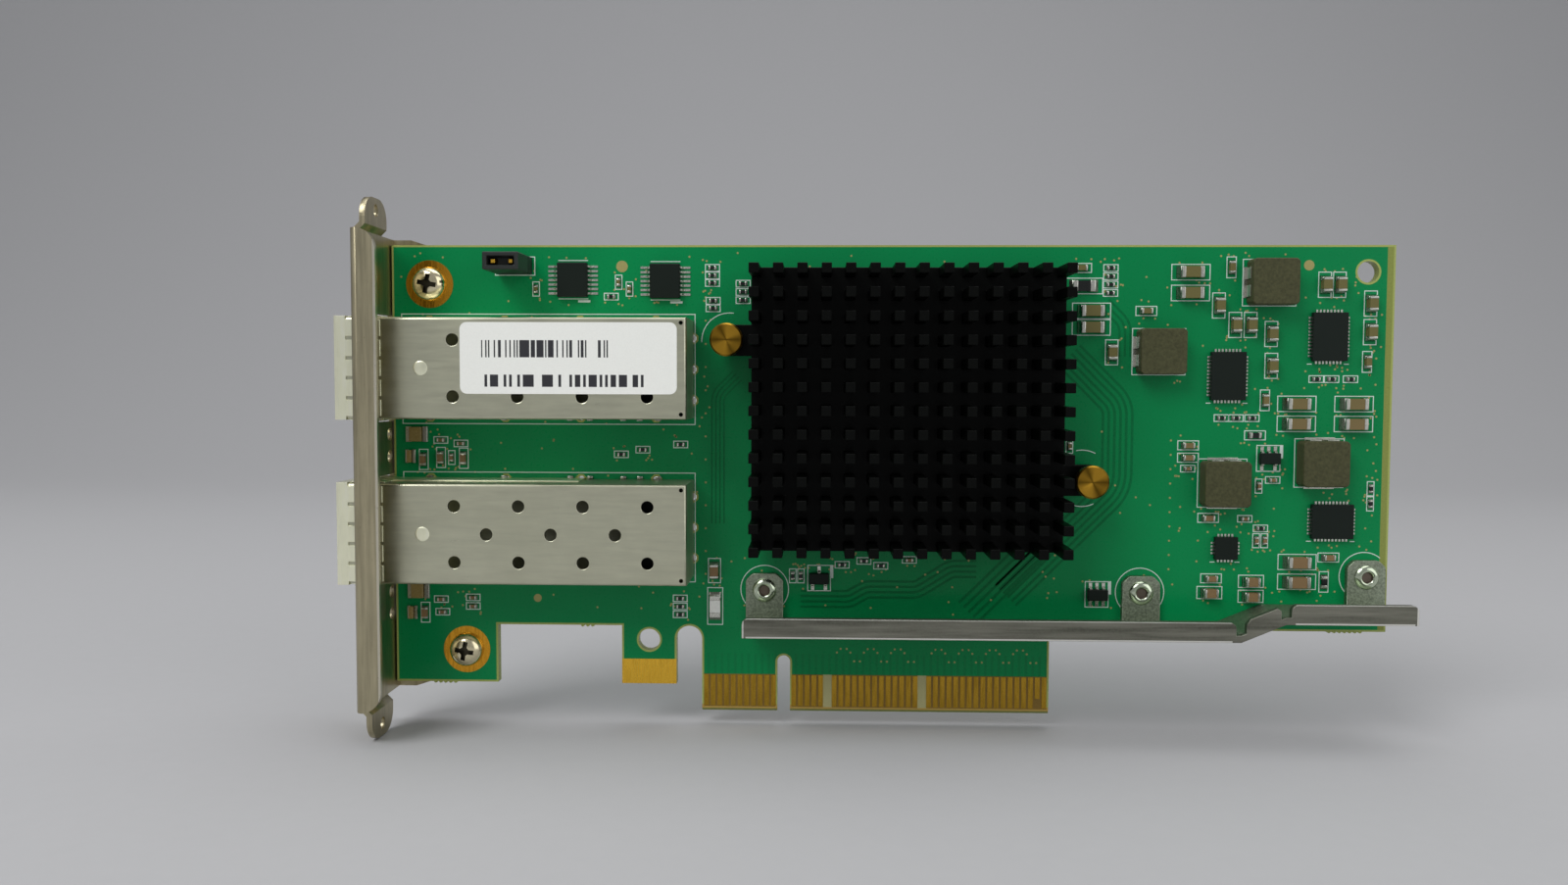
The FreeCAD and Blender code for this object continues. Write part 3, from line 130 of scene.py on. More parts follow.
class CardDetails(bpy.types.PropertyGroup):
    """Sizes of the card's fine detail."""

    legend_line: bpy.props.FloatProperty(
        name="Legend line", description="Width of the printed outlines",
        unit="LENGTH", min=0.00005, max=0.001, default=0.00013)
    legend_rise: bpy.props.FloatProperty(
        name="Legend rise", description="Thickness of the printed outlines",
        unit="LENGTH", min=0.000005, max=0.0001, default=0.00002)
    chamfer: bpy.props.FloatProperty(
        name="Chamfer", description="Broken edges of the small parts",
        unit="LENGTH", min=0.00001, max=0.0003, default=0.00009)
    fold: bpy.props.FloatProperty(
        name="Fold radius", description="Outer radius of the folds in thin sheet",
        unit="LENGTH", min=0.0001, max=0.001, default=0.00035)
    solder_reach: bpy.props.FloatProperty(
        name="Solder reach", description="Solder beyond the ends of a part 1 mm long",
        unit="LENGTH", min=0.0001, max=0.001, default=0.00013)
    via_radius: bpy.props.FloatProperty(
        name="Via radius", description="Plated ring of the vias",
        unit="LENGTH", min=0.0001, max=0.001, default=0.00016)
    via_count: bpy.props.IntProperty(
        name="Vias", description="Vias scattered over the free parts of the board",
        min=0, max=2000, default=300)


class CardStage(bpy.types.PropertyGroup):
    """Camera, floor and light."""

    lens: bpy.props.FloatProperty(
        name="Focal length", description="Focal length on a 36 mm sensor",
        unit="CAMERA", min=10, max=200, default=27.68)
    eye: bpy.props.FloatVectorProperty(
        name="Camera place", description="Where the camera stands",
        subtype="TRANSLATION", unit="LENGTH", size=3, default=(0.00509, -0.17718, 0.0491))
    tilt: bpy.props.FloatVectorProperty(
        name="Camera turn", description="Pitch, roll and yaw of the camera",
        subtype="EULER", unit="ROTATION", size=3, default=(-0.051, -0.003, 0.029))
    floor: bpy.props.FloatVectorProperty(
        name="Floor", description="Colour of the floor and backdrop",
        subtype="COLOR", size=3, min=0, max=1, default=(0.44, 0.44, 0.45))
    key: bpy.props.FloatProperty(
        name="Key light", description="Power of the main lamp in watts",
        min=0, max=1000, default=6.9)


# ------------------------------------------------------------ shader writing
class Signal:
    """An output of a shader tree that sums can be written on."""

    def __init__(self, paint, socket):
        self.paint = paint
        self.socket = socket

    def sum(self, operation, first, second=0.0):
        return self.paint.make("ShaderNodeMath", {"operation": operation},
                               {0: first, 1: second})

    def __add__(self, other):
        return self.sum("ADD", self, other)

    def __radd__(self, other):
        return self.sum("ADD", other, self)

    def __sub__(self, other):
        return self.sum("SUBTRACT", self, other)

    def __rsub__(self, other):
        return self.sum("SUBTRACT", other, self)

    def __mul__(self, other):
        return self.sum("MULTIPLY", self, other)

    def __rmul__(self, other):
        return self.sum("MULTIPLY", other, self)

    def __truediv__(self, other):
        return self.sum("DIVIDE", self, other)

    def __rtruediv__(self, other):
        return self.sum("DIVIDE", other, self)

    def __gt__(self, other):
        return self.sum("GREATER_THAN", self, other)

    def __lt__(self, other):
        return self.sum("LESS_THAN", self, other)

    def __abs__(self):
        return self.sum("ABSOLUTE", self)


class Paint:
    """One finish: a material and the nodes that make it."""

    def __init__(self, name, **sockets):
        self.material = bpy.data.materials.new(name)
        self.material.use_nodes = True
        self.tree = self.material.node_tree
        kinds = {node.type: node for node in self.tree.nodes}
        self.surface = kinds["BSDF_PRINCIPLED"]
        self.output = kinds["OUTPUT_MATERIAL"]
        self.set(**sockets)

    def set(self, **sockets):
        for name, value in sockets.items():
            self.feed(self.surface.inputs[name.replace("_", " ")], value)

    def feed(self, socket, value):
        if isinstance(value, Signal):
            self.tree.links.new(value.socket, socket)
        elif socket.type == "RGBA":
            socket.default_value = (*tuple(value)[:3], 1.0)
        else:
            socket.default_value = value

    def make(self, kind, settings=None, sockets=None, output=0):
        node = self.tree.nodes.new(kind)
        for name, value in (settings or {}).items():
            if name == "stops":
                self.set_stops(node.color_ramp, value)
            else:
                setattr(node, name, value)
        for key, value in (sockets or {}).items():
            self.feed(node.inputs[key], value)
        return Signal(self, node.outputs[output])

    def set_stops(self, ramp, stops):
        while len(ramp.elements) < len(stops):
            ramp.elements.new(0.5)
        for element, (position, value) in zip(ramp.elements, stops):
            element.position = position
            element.color = (value, value, value, 1.0)

    def place(self):
        return self.make("ShaderNodeTexCoord", output="Object")

    def axes(self):
        """Object position as three values in millimetres."""
        scaled = self.make("ShaderNodeVectorMath", {"operation": "SCALE"},
                           {0: self.place(), "Scale": 1 / MM})
        node = self.tree.nodes.new("ShaderNodeSeparateXYZ")
        self.feed(node.inputs[0], scaled)
        return [Signal(self, socket) for socket in node.outputs]

    def grain(self, per_mm, detail=2.0, stretch=(1, 1, 1), roughness=0.5):
        """Noise from 0 to 1 with a number of cells to the millimetre."""
        turned = self.make("ShaderNodeMapping", {}, {"Vector": self.place(),
                                                     "Scale": stretch})
        return self.make("ShaderNodeTexNoise", {}, {
            "Vector": turned, "Scale": per_mm / MM, "Detail": detail,
            "Roughness": roughness})

    def between(self, signal, low, high):
        """Signal spread so that low becomes 0 and high becomes 1."""
        return self.make("ShaderNodeMapRange", {}, {
            "Value": signal, "From Min": low, "From Max": high})

    def distance(self, first, second):
        """Length of the hypotenuse over two sides."""
        return self.make("ShaderNodeMath", {"operation": "SQRT"},
                         {0: first * first + second * second})

    def colour(self, factor, first, second):
        return self.make("ShaderNodeMix", {"data_type": "RGBA"},
                         {0: factor, 6: first, 7: second}, output=2)

    def relief(self, height, depth, strength=1.0):
        """Bumps whose full height is a depth in millimetres."""
        self.set(Normal=self.make("ShaderNodeBump", {}, {
            "Strength": strength, "Distance": depth * MM, "Height": height}))


def shade(colour, factor):
    return tuple(channel * factor for channel in tuple(colour)[:3])


# ------------------------------------------------------------ finishes
def mask_finish(colours):
    """Green lacquer on the faces of the board, bare laminate elsewhere."""
    paint = Paint("solder_mask", Coat_Weight=0.05, Coat_Roughness=0.1,
                  Specular_IOR_Level=0.14)
    x, y, z = paint.axes()
    middle = (FACE + BACK) / 2 / MM
    half = (BACK - FACE) / 2 / MM
    on_face = abs(y - middle) > half - 0.02
    cloud = paint.between(paint.grain(0.03, 3.0), 0.35, 0.65)
    weave = paint.between(paint.grain(2.2, 2.0), 0.3, 0.7)
    mask = paint.colour(cloud, shade(colours.mask, 0.84), colours.mask)
    mask = paint.colour(weave * 0.12, mask, colours.mask_dark)
    low, high = (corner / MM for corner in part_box("edge_contacts_front"))
    in_tongue = (x > low.x - 0.5) * (x < high.x + 0.5)
    lane = paint.make("ShaderNodeMath", {"operation": "FRACT"}, {0: x})
    fan_out = (lane > 0.62) * in_tongue * (z < high.z + 3.2)
    mask = paint.colour(fan_out * 0.4, mask, colours.mask_dark)
    fibres = paint.grain(4.0, 3.0, (1, 6, 1))
    edge = paint.colour(fibres, shade(colours.laminate, 0.7), colours.laminate)
    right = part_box("circuit_board")[1].x / MM
    mask = paint.colour(x > right - 1.15, mask, edge)
    bare = paint.colour(fibres, (0.17, 0.10, 0.02), (0.24, 0.15, 0.035))
    contacts = islands("edge_contacts_front")
    for left, next_one in zip(contacts, contacts[1:]):
        if 1.0 < (next_one[0].x - left[1].x) / MM < 1.8:
            wide = (x > left[1].x / MM) * (x < next_one[0].x / MM)
            bare = paint.colour(wide, bare, (0.40, 0.38, 0.19))
    mask = paint.colour(in_tongue * (z < high.z + 0.1), mask, bare)
    paint.set(Base_Color=paint.colour(on_face, edge, mask))
    paint.set(Roughness=weave * 0.06 + 0.26)
    paint.relief(paint.grain(0.9, 3.0), 0.02, 0.3)
    return paint.material


def laminate_finish(colours):
    """Bare glass laminate at the cut edges of the board."""
    paint = Paint("bare_laminate", Roughness=0.7)
    x, _, z = paint.axes()
    low, high = (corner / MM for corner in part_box("edge_contacts_front"))
    fibres = paint.grain(5.0, 3.0)
    tone = paint.colour(fibres, shade(colours.laminate, 0.9), shade(colours.laminate, 1.5))
    tip = (z < low.z + 0.2) * (x > low.x - 0.5) * (x < high.x + 0.5)
    tone = paint.colour(tip, tone, (0.38, 0.25, 0.05))
    paint.set(Base_Color=tone)
    paint.relief(fibres, 0.02, 0.5)
    return paint.material


def turned_finish(name, colour, centres):
    """Brass with the rings of a lathe, and a painted reflection: bright and dark sectors
    round each pin painted into its colour.
    """
    paint = Paint(name, Metallic=1.0)
    x, _, z = paint.axes()
    nearest, painted_reflection_sector = 1000.0, 0.0
    for centre in centres:
        across, up = x - centre.x / MM, z - centre.z / MM
        distance = paint.distance(across, up)
        # Painted reflection: the share sets the bright and dark sectors of a bow-tie
        # reflection round the pin.
        share = (across * up * 1.6 + up * up * 0.8) / (distance * distance + 0.02)
        painted_reflection_sector = (distance < 4.0) * share + painted_reflection_sector
        nearest = paint.make("ShaderNodeMath", {"operation": "MINIMUM"},
                             {0: distance, 1: nearest})
    rings = paint.make("ShaderNodeMath", {"operation": "SINE"}, {0: nearest * 40.0})
    lit = paint.between(abs(painted_reflection_sector) + rings * 0.05 + paint.grain(1.2, 3.0) * 0.3, 0.2, 1.1)
    paint.set(Base_Color=paint.colour(lit, shade(colour, 0.45), shade(colour, 1.5)))
    paint.set(Roughness=paint.grain(0.5, 4.0) * 0.12 + 0.26)
    paint.relief(rings, 0.006, 0.5)
    return paint.material


def ceramic_finish(colour):
    """Capacitor ceramic, olive on the upper parts and tan on the lower ones."""
    paint = Paint("capacitor_ceramic", Roughness=0.45, Specular_IOR_Level=0.25)
    _, _, z = paint.axes()
    batch = paint.between(z + paint.grain(0.09, 1.0) * 16.0, 42.0, 58.0)
    grain = paint.grain(7.0, 3.0)
    tone = paint.colour(batch, colour, (0.14, 0.135, 0.04))
    tone = paint.colour(grain * 0.5, tone, shade(colour, 0.6))
    paint.set(Base_Color=tone)
    paint.relief(grain, 0.006, 0.6)
    return paint.material


def metal_finish(name, colour, roughness, brush=(1, 1, 1), per_mm=2.0, wear=0.18,
                 contrast=0.14):
    """Bare or plated metal with fine brushing and faint stains."""
    paint = Paint(name, Metallic=1.0)
    lines = paint.between(paint.grain(per_mm, 4.0, brush, 0.6), 0.25, 0.75)
    stains = paint.between(paint.grain(0.12, 4.0), 0.35, 0.7)
    tone = paint.colour(lines, shade(colour, 1 - contrast), shade(colour, 1 + contrast))
    paint.set(Base_Color=paint.colour(stains * wear, tone, shade(colour, 0.62)))
    paint.set(Roughness=lines * 0.08 + (roughness - 0.04) + stains * wear * 0.5)
    paint.relief(lines, 0.004, 0.5)
    return paint.material


def bracket_finish(colour):
    """Nickelled sheet drawn lengthwise, with a painted highlight near the flange's free
    edge and painted shade at its fold.
    """
    paint = Paint("bracket_nickel", Metallic=1.0)
    x, y, _ = paint.axes()
    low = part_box("bracket")[0] / MM
    drawn = paint.between(paint.grain(1.6, 4.0, (1, 1, 0.05), 0.65), 0.25, 0.75)
    stains = paint.between(paint.grain(0.14, 5.0), 0.35, 0.7)
    tone = paint.colour(drawn, shade(colour, 0.72), shade(colour, 1.25))
    tone = paint.colour(stains * 0.3, tone, shade(colour, 0.5))
    flange = y < low.y + 0.5
    # Painted highlight: a bright band near the free edge of the flange.
    edge = flange * (x > low.x + 3.35) * (x < low.x + 3.8)
    tone = paint.colour(edge * 0.6, tone, (0.80, 0.77, 0.66))
    # Painted shade: a dark strip where the flange folds from the plate.
    corner = flange * (x < low.x + 0.3)
    tone = paint.colour(corner * 0.5, tone, shade(colour, 0.35))
    nicks = paint.between(paint.grain(3.0, 5.0, (1, 1, 0.5), 0.7), 0.62, 0.7)
    tone = paint.colour(nicks * 0.35, tone, shade(colour, 0.4))
    paint.set(Base_Color=tone, Roughness=drawn * 0.08 + stains * 0.1 + 0.26)
    paint.relief(drawn, 0.004, 0.5)
    return paint.material


def lip_length(end):
    """Start, stop, lower edge and upper edge, in millimetres, of the level length of
    the stiffener's lip that reaches one end of the bar."""
    points = [vert.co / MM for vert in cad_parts["stiffener_bar"].data.vertices]
    front = min(point.y for point in points) + 0.01
    lip = [point for point in points if point.y < front]
    heights = [point.z for point in lip if abs(point.x - end) < 1.0]
    top = max(heights)
    level = [point.x for point in lip if abs(point.z - top) < 0.01]
    return min(level), max(level), min(heights), top


def zinc_finish(colour):
    """Coarse zinc; the lip is darkened, with rolled streaks, as a painted dark reflection,
    and its edges carry painted highlights.
    """
    paint = Paint("bar_zinc", Metallic=1.0)
    x, y, z = paint.axes()
    low, high = (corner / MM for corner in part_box("stiffener_bar"))
    coarse = paint.between(paint.grain(3.2, 5.0, (1, 1, 1), 0.65), 0.3, 0.7)
    rolled = paint.between(paint.grain(1.1, 4.0, (0.06, 1, 1), 0.6), 0.3, 0.7)
    tone = paint.colour(coarse, shade(colour, 0.55), shade(colour, 1.4))
    # Painted dark reflection: the lip facing the front is darker, with rolled streaks
    # through it.
    lip_streaks_and_dark_reflection = paint.colour(rolled, (0.09, 0.085, 0.07), (0.26, 0.25, 0.21))
    lip_streaks_and_dark_reflection = paint.colour(coarse * 0.35, lip_streaks_and_dark_reflection, shade(colour, 0.8))
    tone = paint.colour(y < low.y + 0.9, tone, lip_streaks_and_dark_reflection)
    # Painted highlights: bright lines at the ends of the lip and along its lower and upper
    # edges.
    rim = (x < low.x + 0.25) + (x > high.x - 0.3)
    for end in (low.x, high.x):
        start, stop, bottom, top = lip_length(end)
        here = (x > start) * (x < stop)
        rim = rim + here * ((z < bottom + 0.25) + (z > top - 0.12) * 0.5)
    painted_edge_highlights = (y < low.y + 0.3) * rim
    paint.set(Base_Color=paint.colour(painted_edge_highlights * 0.85, tone, (0.80, 0.79, 0.74)))
    paint.set(Roughness=coarse * 0.15 + 0.4)
    paint.relief(coarse, 0.012, 0.5)
    return paint.material


def moulded_finish(name, colour, roughness, per_mm=9.0, depth=0.008, glint=0.0,
                   shine=0.3, contrast=0.17):
    """Moulded resin, ceramic or rubber with a fine grain."""
    paint = Paint(name, Coat_Weight=glint, Specular_IOR_Level=shine)
    grain = paint.grain(per_mm, 3.0)
    clouds = paint.grain(0.4, 2.0)
    tone = paint.colour(grain, shade(colour, 1 - contrast), shade(colour, 1 + contrast))
    paint.set(Base_Color=paint.colour(clouds * 0.3, tone, shade(colour, 0.7)))
    paint.set(Roughness=grain * 0.2 + (roughness - 0.1))
    paint.relief(grain, depth, 0.6)
    return paint.material


def contact_finish(name, colour, wear=0.28):
    """Gold contacts, worn duller where they have been plugged in."""
    paint = Paint(name, Metallic=1.0)
    worn = paint.between(paint.grain(0.8, 4.0, (4, 1, 0.4)), 0.45, 0.7)
    tone = paint.colour(worn, colour, shade(colour, 1 - wear))
    paint.set(Base_Color=tone, Roughness=worn * 0.2 + 0.22)
    paint.relief(paint.grain(6.0, 3.0, (1, 1, 0.2)), 0.004, 0.5)
    return paint.material


def label_finish(low, high):
    """White paper with two generic rows of bars."""
    paint = Paint("label_paper", Roughness=0.55)
    x, _, z = paint.axes()
    width = (high.x - low.x) / MM
    height = (high.z - low.z) / MM
    across = x - low.x / MM
    up = z - low.z / MM
    ink = 0.0
    rows = ((0.10, 0.27, 0.10, 0.86, 2.6), (0.51, 0.75, 0.10, 0.69, 5.0))
    for bottom, top, left, right, per_mm in rows:
        cell = paint.make("ShaderNodeMath", {"operation": "FLOOR"},
                          {0: across * per_mm})
        chance = paint.make("ShaderNodeTexWhiteNoise", {"noise_dimensions": "1D"},
                            {"W": cell + top * 40})
        bars = chance > 0.42
        inside = (up > bottom * height) * (up < top * height)
        inside = inside * (across > left * width) * (across < right * width)
        ink = bars * inside + ink
    fibres = paint.grain(5.0, 3.0)
    paper = paint.colour(fibres, (0.84, 0.85, 0.80), (0.92, 0.93, 0.88))
    paint.set(Base_Color=paint.colour(ink, paper, (0.02, 0.02, 0.025)))
    paint.relief(fibres, 0.01, 0.3)
    return paint.material


def floor_finish(colour):
    """Matt backdrop, very slightly uneven."""
    paint = Paint("stage_floor", Roughness=0.8)
    paint.set(Base_Color=paint.colour(paint.grain(0.4, 2.0), shade(colour, 0.97), colour))
    return paint.material


FINISHES = {}


def finish(name):
    """Finish by name, made once from the colours that are set."""
    if name in FINISHES:
        return FINISHES[name]
    colours = bpy.context.scene.card_colours
    tin = (0.60, 0.60, 0.54)
    black = (0.008, 0.010, 0.009)
    pins = [middle(box) for box in islands("push_pins")]
    makers = {
        "mask": (mask_finish, colours),
        "laminate": (laminate_finish, colours),
        "trace": (moulded_finish, "mask_over_gap", shade(colours.mask, 0.62), 0.3, 2.0,
                  0.004, 0.0, 0.14),
        "via": (moulded_finish, "mask_over_via", (0.36, 0.33, 0.12), 0.4, 8.0),
        "gold": (contact_finish, "contact_gold", shade(colours.gold, 0.55)),
        "pad_gold": (contact_finish, "pad_gold", colours.gold, 0.1),
        "ring_gold": (contact_finish, "ring_gold", (0.70, 0.34, 0.03), 0.2),
        "legend": (moulded_finish, "legend_ink", colours.legend, 0.6, 6.0, 0.002),
        "bracket": (bracket_finish, colours.steel),
        "screw": (metal_finish, "screw_nickel", shade(colours.steel, 1.7), 0.12),
        # Painted shade: near-black steel for the walls and floor of the screws' cross
        # recess.
        "recess": (metal_finish, "screw_recess", shade(colours.steel, 0.18), 0.4),
        "bar": (zinc_finish, colours.zinc),
        "rivet": (metal_finish, "rivet_zinc", shade(colours.zinc, 1.9), 0.14, (1, 1, 1),
                  1.5),
        "bore": (metal_finish, "rivet_bore", (0.17, 0.14, 0.11), 0.4),
        "cage": (metal_finish, "cage_nickel", colours.nickel, 0.30, (0.12, 1, 1), 1.6,
                 0.3, 0.08),
        "collar": (metal_finish, "collar_nickel", shade(colours.nickel, 1.75), 0.32,
                   (1, 1, 0.2), 1.0, 0.1, 0.08),
        "brass": (turned_finish, "pin_brass", shade(colours.brass, 0.87), pins),
        "spring": (metal_finish, "spring_wire", (0.5, 0.5, 0.5), 0.3),
        "tin": (metal_finish, "tin_plating", tin, 0.24, (1, 1, 1), 5.0, 0.25),
        # The fillet solder is darker than the pad solder below: a painted dark reflection
        # of the surroundings.
        "solder": (metal_finish, "solder", (0.33, 0.34, 0.30), 0.16, (1, 1, 1), 3.0, 0.3),
        "pad": (metal_finish, "bright_solder", (0.66, 0.67, 0.60), 0.2, (1, 1, 1), 3.0,
                0.2),
        "anodised": (moulded_finish, "anodised_black", colours.anodised, 0.38, 5.0, 0.01,
                     0.0, 0.09),
        "ceramic": (ceramic_finish, colours.ceramic),
        "resistor": (moulded_finish, "resistor_glaze", black, 0.3, 5.0, 0.004, 0.1),
        "alumina": (moulded_finish, "alumina_white", (0.86, 0.87, 0.82), 0.45, 6.0, 0.004,
                    0.0, 0.2),
        "ferrite": (moulded_finish, "pressed_iron", colours.ferrite, 0.5, 2.6, 0.04, 0.0,
                    0.18, 0.6),
        "chip": (moulded_finish, "chip_resin", (0.006, 0.011, 0.008), 0.45, 9.0, 0.008,
                 0.0, 0.18),
        "header": (moulded_finish, "header_plastic", (0.008, 0.010, 0.009), 0.4, 8.0,
                   0.01, 0.0, 0.2),
        "shunt": (moulded_finish, "shunt_plastic", (0.022, 0.026, 0.024), 0.4, 8.0, 0.01),
        "housing": (moulded_finish, "connector_plastic", black, 0.45),
        "substrate": (moulded_finish, "chip_substrate", (0.02, 0.11, 0.05), 0.4),
        "thermal": (moulded_finish, "thermal_rubber", (0.4, 0.41, 0.43), 0.7),
        "resin": (moulded_finish, "light_resin", (0.30, 0.22, 0.08), 0.25, 4.0, 0.003, 0.4),
        "paper": (label_finish, *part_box("port_label")),
    }
    maker, *values = makers[name]
    FINISHES[name] = maker(*values)
    return FINISHES[name]


# ------------------------------------------------------------ shaping
def islands(*nodes):
    """Lowest and highest corner of each separate solid of the CAD nodes."""
    boxes = []
    for node in nodes:
        mesh = welded(node)
        waiting = set(mesh.verts)
        while waiting:
            queue = [waiting.pop()]
            low, high = queue[0].co.copy(), queue[0].co.copy()
            while queue:
                vert = queue.pop()
                low = Vector(map(min, low, vert.co))
                high = Vector(map(max, high, vert.co))
                for edge in vert.link_edges:
                    other = edge.other_vert(vert)
                    if other in waiting:
                        waiting.remove(other)
                        queue.append(other)
            boxes.append((low, high))
        mesh.free()
    return sorted(boxes, key=lambda box: tuple(round(c, 7) for c in (*box[0], *box[1])))


def welded(node):
    """Copy of a CAD node's mesh with its split vertices joined."""
    mesh = bmesh.new()
    mesh.from_mesh(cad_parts[node].data)
    bmesh.ops.remove_doubles(mesh, verts=mesh.verts[:], dist=WELD)
    return mesh


def verts_in(items):
    return [item for item in items if isinstance(item, bmesh.types.BMVert)]


def edges_in(items):
    return [item for item in items if isinstance(item, bmesh.types.BMEdge)]


def middle(box):
    return (box[0] + box[1]) / 2


def grown(box, x, z, y=0.0):
    reach = Vector((x, y, z))
    return box[0] - reach, box[1] + reach


def add_box(mesh, box):
    """Adds a box and returns its vertices."""
    low, high = box
    placed = Matrix.LocRotScale((low + high) / 2, None, high - low)
    return bmesh.ops.create_cube(mesh, size=1.0, matrix=placed)["verts"]


def add_block(mesh, x0, x1, y0, y1, z0, z1):
    """Adds a box between two X, two Y and two Z."""
    return add_box(mesh, (Vector((x0, y0, z0)), Vector((x1, y1, z1))))


def break_edges(mesh, width, angle=30, segments=1, edges=None):
    """Bevels the edges that are sharper than an angle in degrees."""
    picked = [edge for edge in (edges or mesh.edges) if len(edge.link_faces) == 2
              and edge.calc_face_angle(0) > math.radians(angle)]
    if picked:
        bmesh.ops.bevel(mesh, geom=picked, offset=width, affect="EDGES",
                        segments=segments, profile=0.5, material=-1, clamp_overlap=True)


def add_prism(mesh, centre, radius, front, back, sides=8):
    """Adds a straight round solid square to the board."""
    turned = Matrix.Translation((centre.x, (front + back) / 2, centre.z)) @ \
        Matrix.Rotation(math.radians(90), 4, "X")
    bmesh.ops.create_cone(mesh, cap_ends=True, cap_tris=False, segments=sides,
                          radius1=radius, radius2=radius, depth=back - front,
                          matrix=turned)


def spin_round(mesh, geom, centre, degrees, steps, rise=0, merge=False):
    """Spins geometry round an axis square to the board."""
    bmesh.ops.spin(mesh, geom=geom, cent=(centre.x, 0, centre.z), axis=(0, 1, 0),
                   dvec=(0, rise, 0), angle=math.radians(degrees), steps=steps,
                   use_merge=merge)


def add_turned(mesh, centre, steps, sides=32):
    """Adds a round solid square to the board, from radius and y pairs."""
    verts = [mesh.verts.new((centre.x + r, y, centre.z)) for r, y in steps]
    edges = [mesh.edges.new(pair) for pair in zip(verts, verts[1:])]
    spin_round(mesh, verts + edges, centre, 360, sides, merge=True)


def merged_copy(node):
    """Copy of a CAD node's mesh with its flat triangles joined."""
    mesh = welded(node)
    bmesh.ops.dissolve_limit(mesh, angle_limit=math.radians(1), verts=mesh.verts[:],
                             edges=mesh.edges[:], use_dissolve_boundaries=False)
    return mesh


def new_piece(name, mesh, finishes, replaces=(), smooth=0, merge=True,
              flats=True):
    """Turns a mesh into a finished piece that rides on the card.

    Faces square to an axis stay flat unless the piece is turned.
    """
    if merge:
        bmesh.ops.remove_doubles(mesh, verts=mesh.verts[:], dist=CLOSE)
    bmesh.ops.recalc_face_normals(mesh, faces=mesh.faces[:])
    data = bpy.data.meshes.new(name)
    mesh.to_mesh(data)
    mesh.free()
    for one in [finishes] if isinstance(finishes, str) else finishes:
        data.materials.append(finish(one))
    piece = bpy.data.objects.new(name, data)
    bpy.context.scene.collection.objects.link(piece)
    if smooth:
        data.shade_smooth()
        data.set_sharp_from_angle(angle=math.radians(smooth))
        for face in data.polygons:
            face.use_smooth = not flats or max(map(abs, face.normal)) < 0.995
    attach(piece, "root")
    if replaces:
        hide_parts(*replaces)
    return piece


def soften(node, finish_name, width, segments=1, angle=35, smooth=0):
    """Replaces a CAD node by a copy with broken edges."""
    mesh = merged_copy(node)
    break_edges(mesh, width, angle, segments)
    return new_piece(node + "_dressed", mesh, finish_name, (node,), smooth, False)


def paint_node(node, finish_name):
    """Gives a CAD node that keeps its shape its finish."""
    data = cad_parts[node].data
    data.materials.clear()
    data.materials.append(finish(finish_name))


def add_mesh(mesh, other):
    """Adds another bmesh to a mesh and frees it."""
    data = bpy.data.meshes.new("joined")
    other.to_mesh(data)
    other.free()
    mesh.from_mesh(data)
    bpy.data.meshes.remove(data)


def carve(mesh, cutters):
    """Mesh with the cutter mesh taken out of it, as a new bmesh."""
    objects = []
    for name, one in (("carved", mesh), ("cutter", cutters)):
        bmesh.ops.remove_doubles(one, verts=one.verts[:], dist=CLOSE)
        bmesh.ops.recalc_face_normals(one, faces=one.faces[:])
        data = bpy.data.meshes.new(name)
        one.to_mesh(data)
        one.free()
        made = bpy.data.objects.new(name, data)
        bpy.context.scene.collection.objects.link(made)
        objects.append(made)
    body, tool = objects
    cut = body.modifiers.new("cut", "BOOLEAN")
    cut.operation = "DIFFERENCE"
    cut.solver = "EXACT"
    cut.object = tool
    depsgraph = bpy.context.evaluated_depsgraph_get()
    result = bmesh.new()
    result.from_mesh(body.evaluated_get(depsgraph).to_mesh())
    for made in objects:
        data = made.data
        bpy.data.objects.remove(made)
        bpy.data.meshes.remove(data)
    return result


def spot(x, z, y=0.0):
    """Point on the board from millimetres."""
    return Vector((x * MM, y, z * MM))


def peg_radius(box):
    """Radius of a round CAD solid that has twelve flat sides."""
    return (box[1].x - box[0].x) / 2 / math.cos(math.pi / 12)


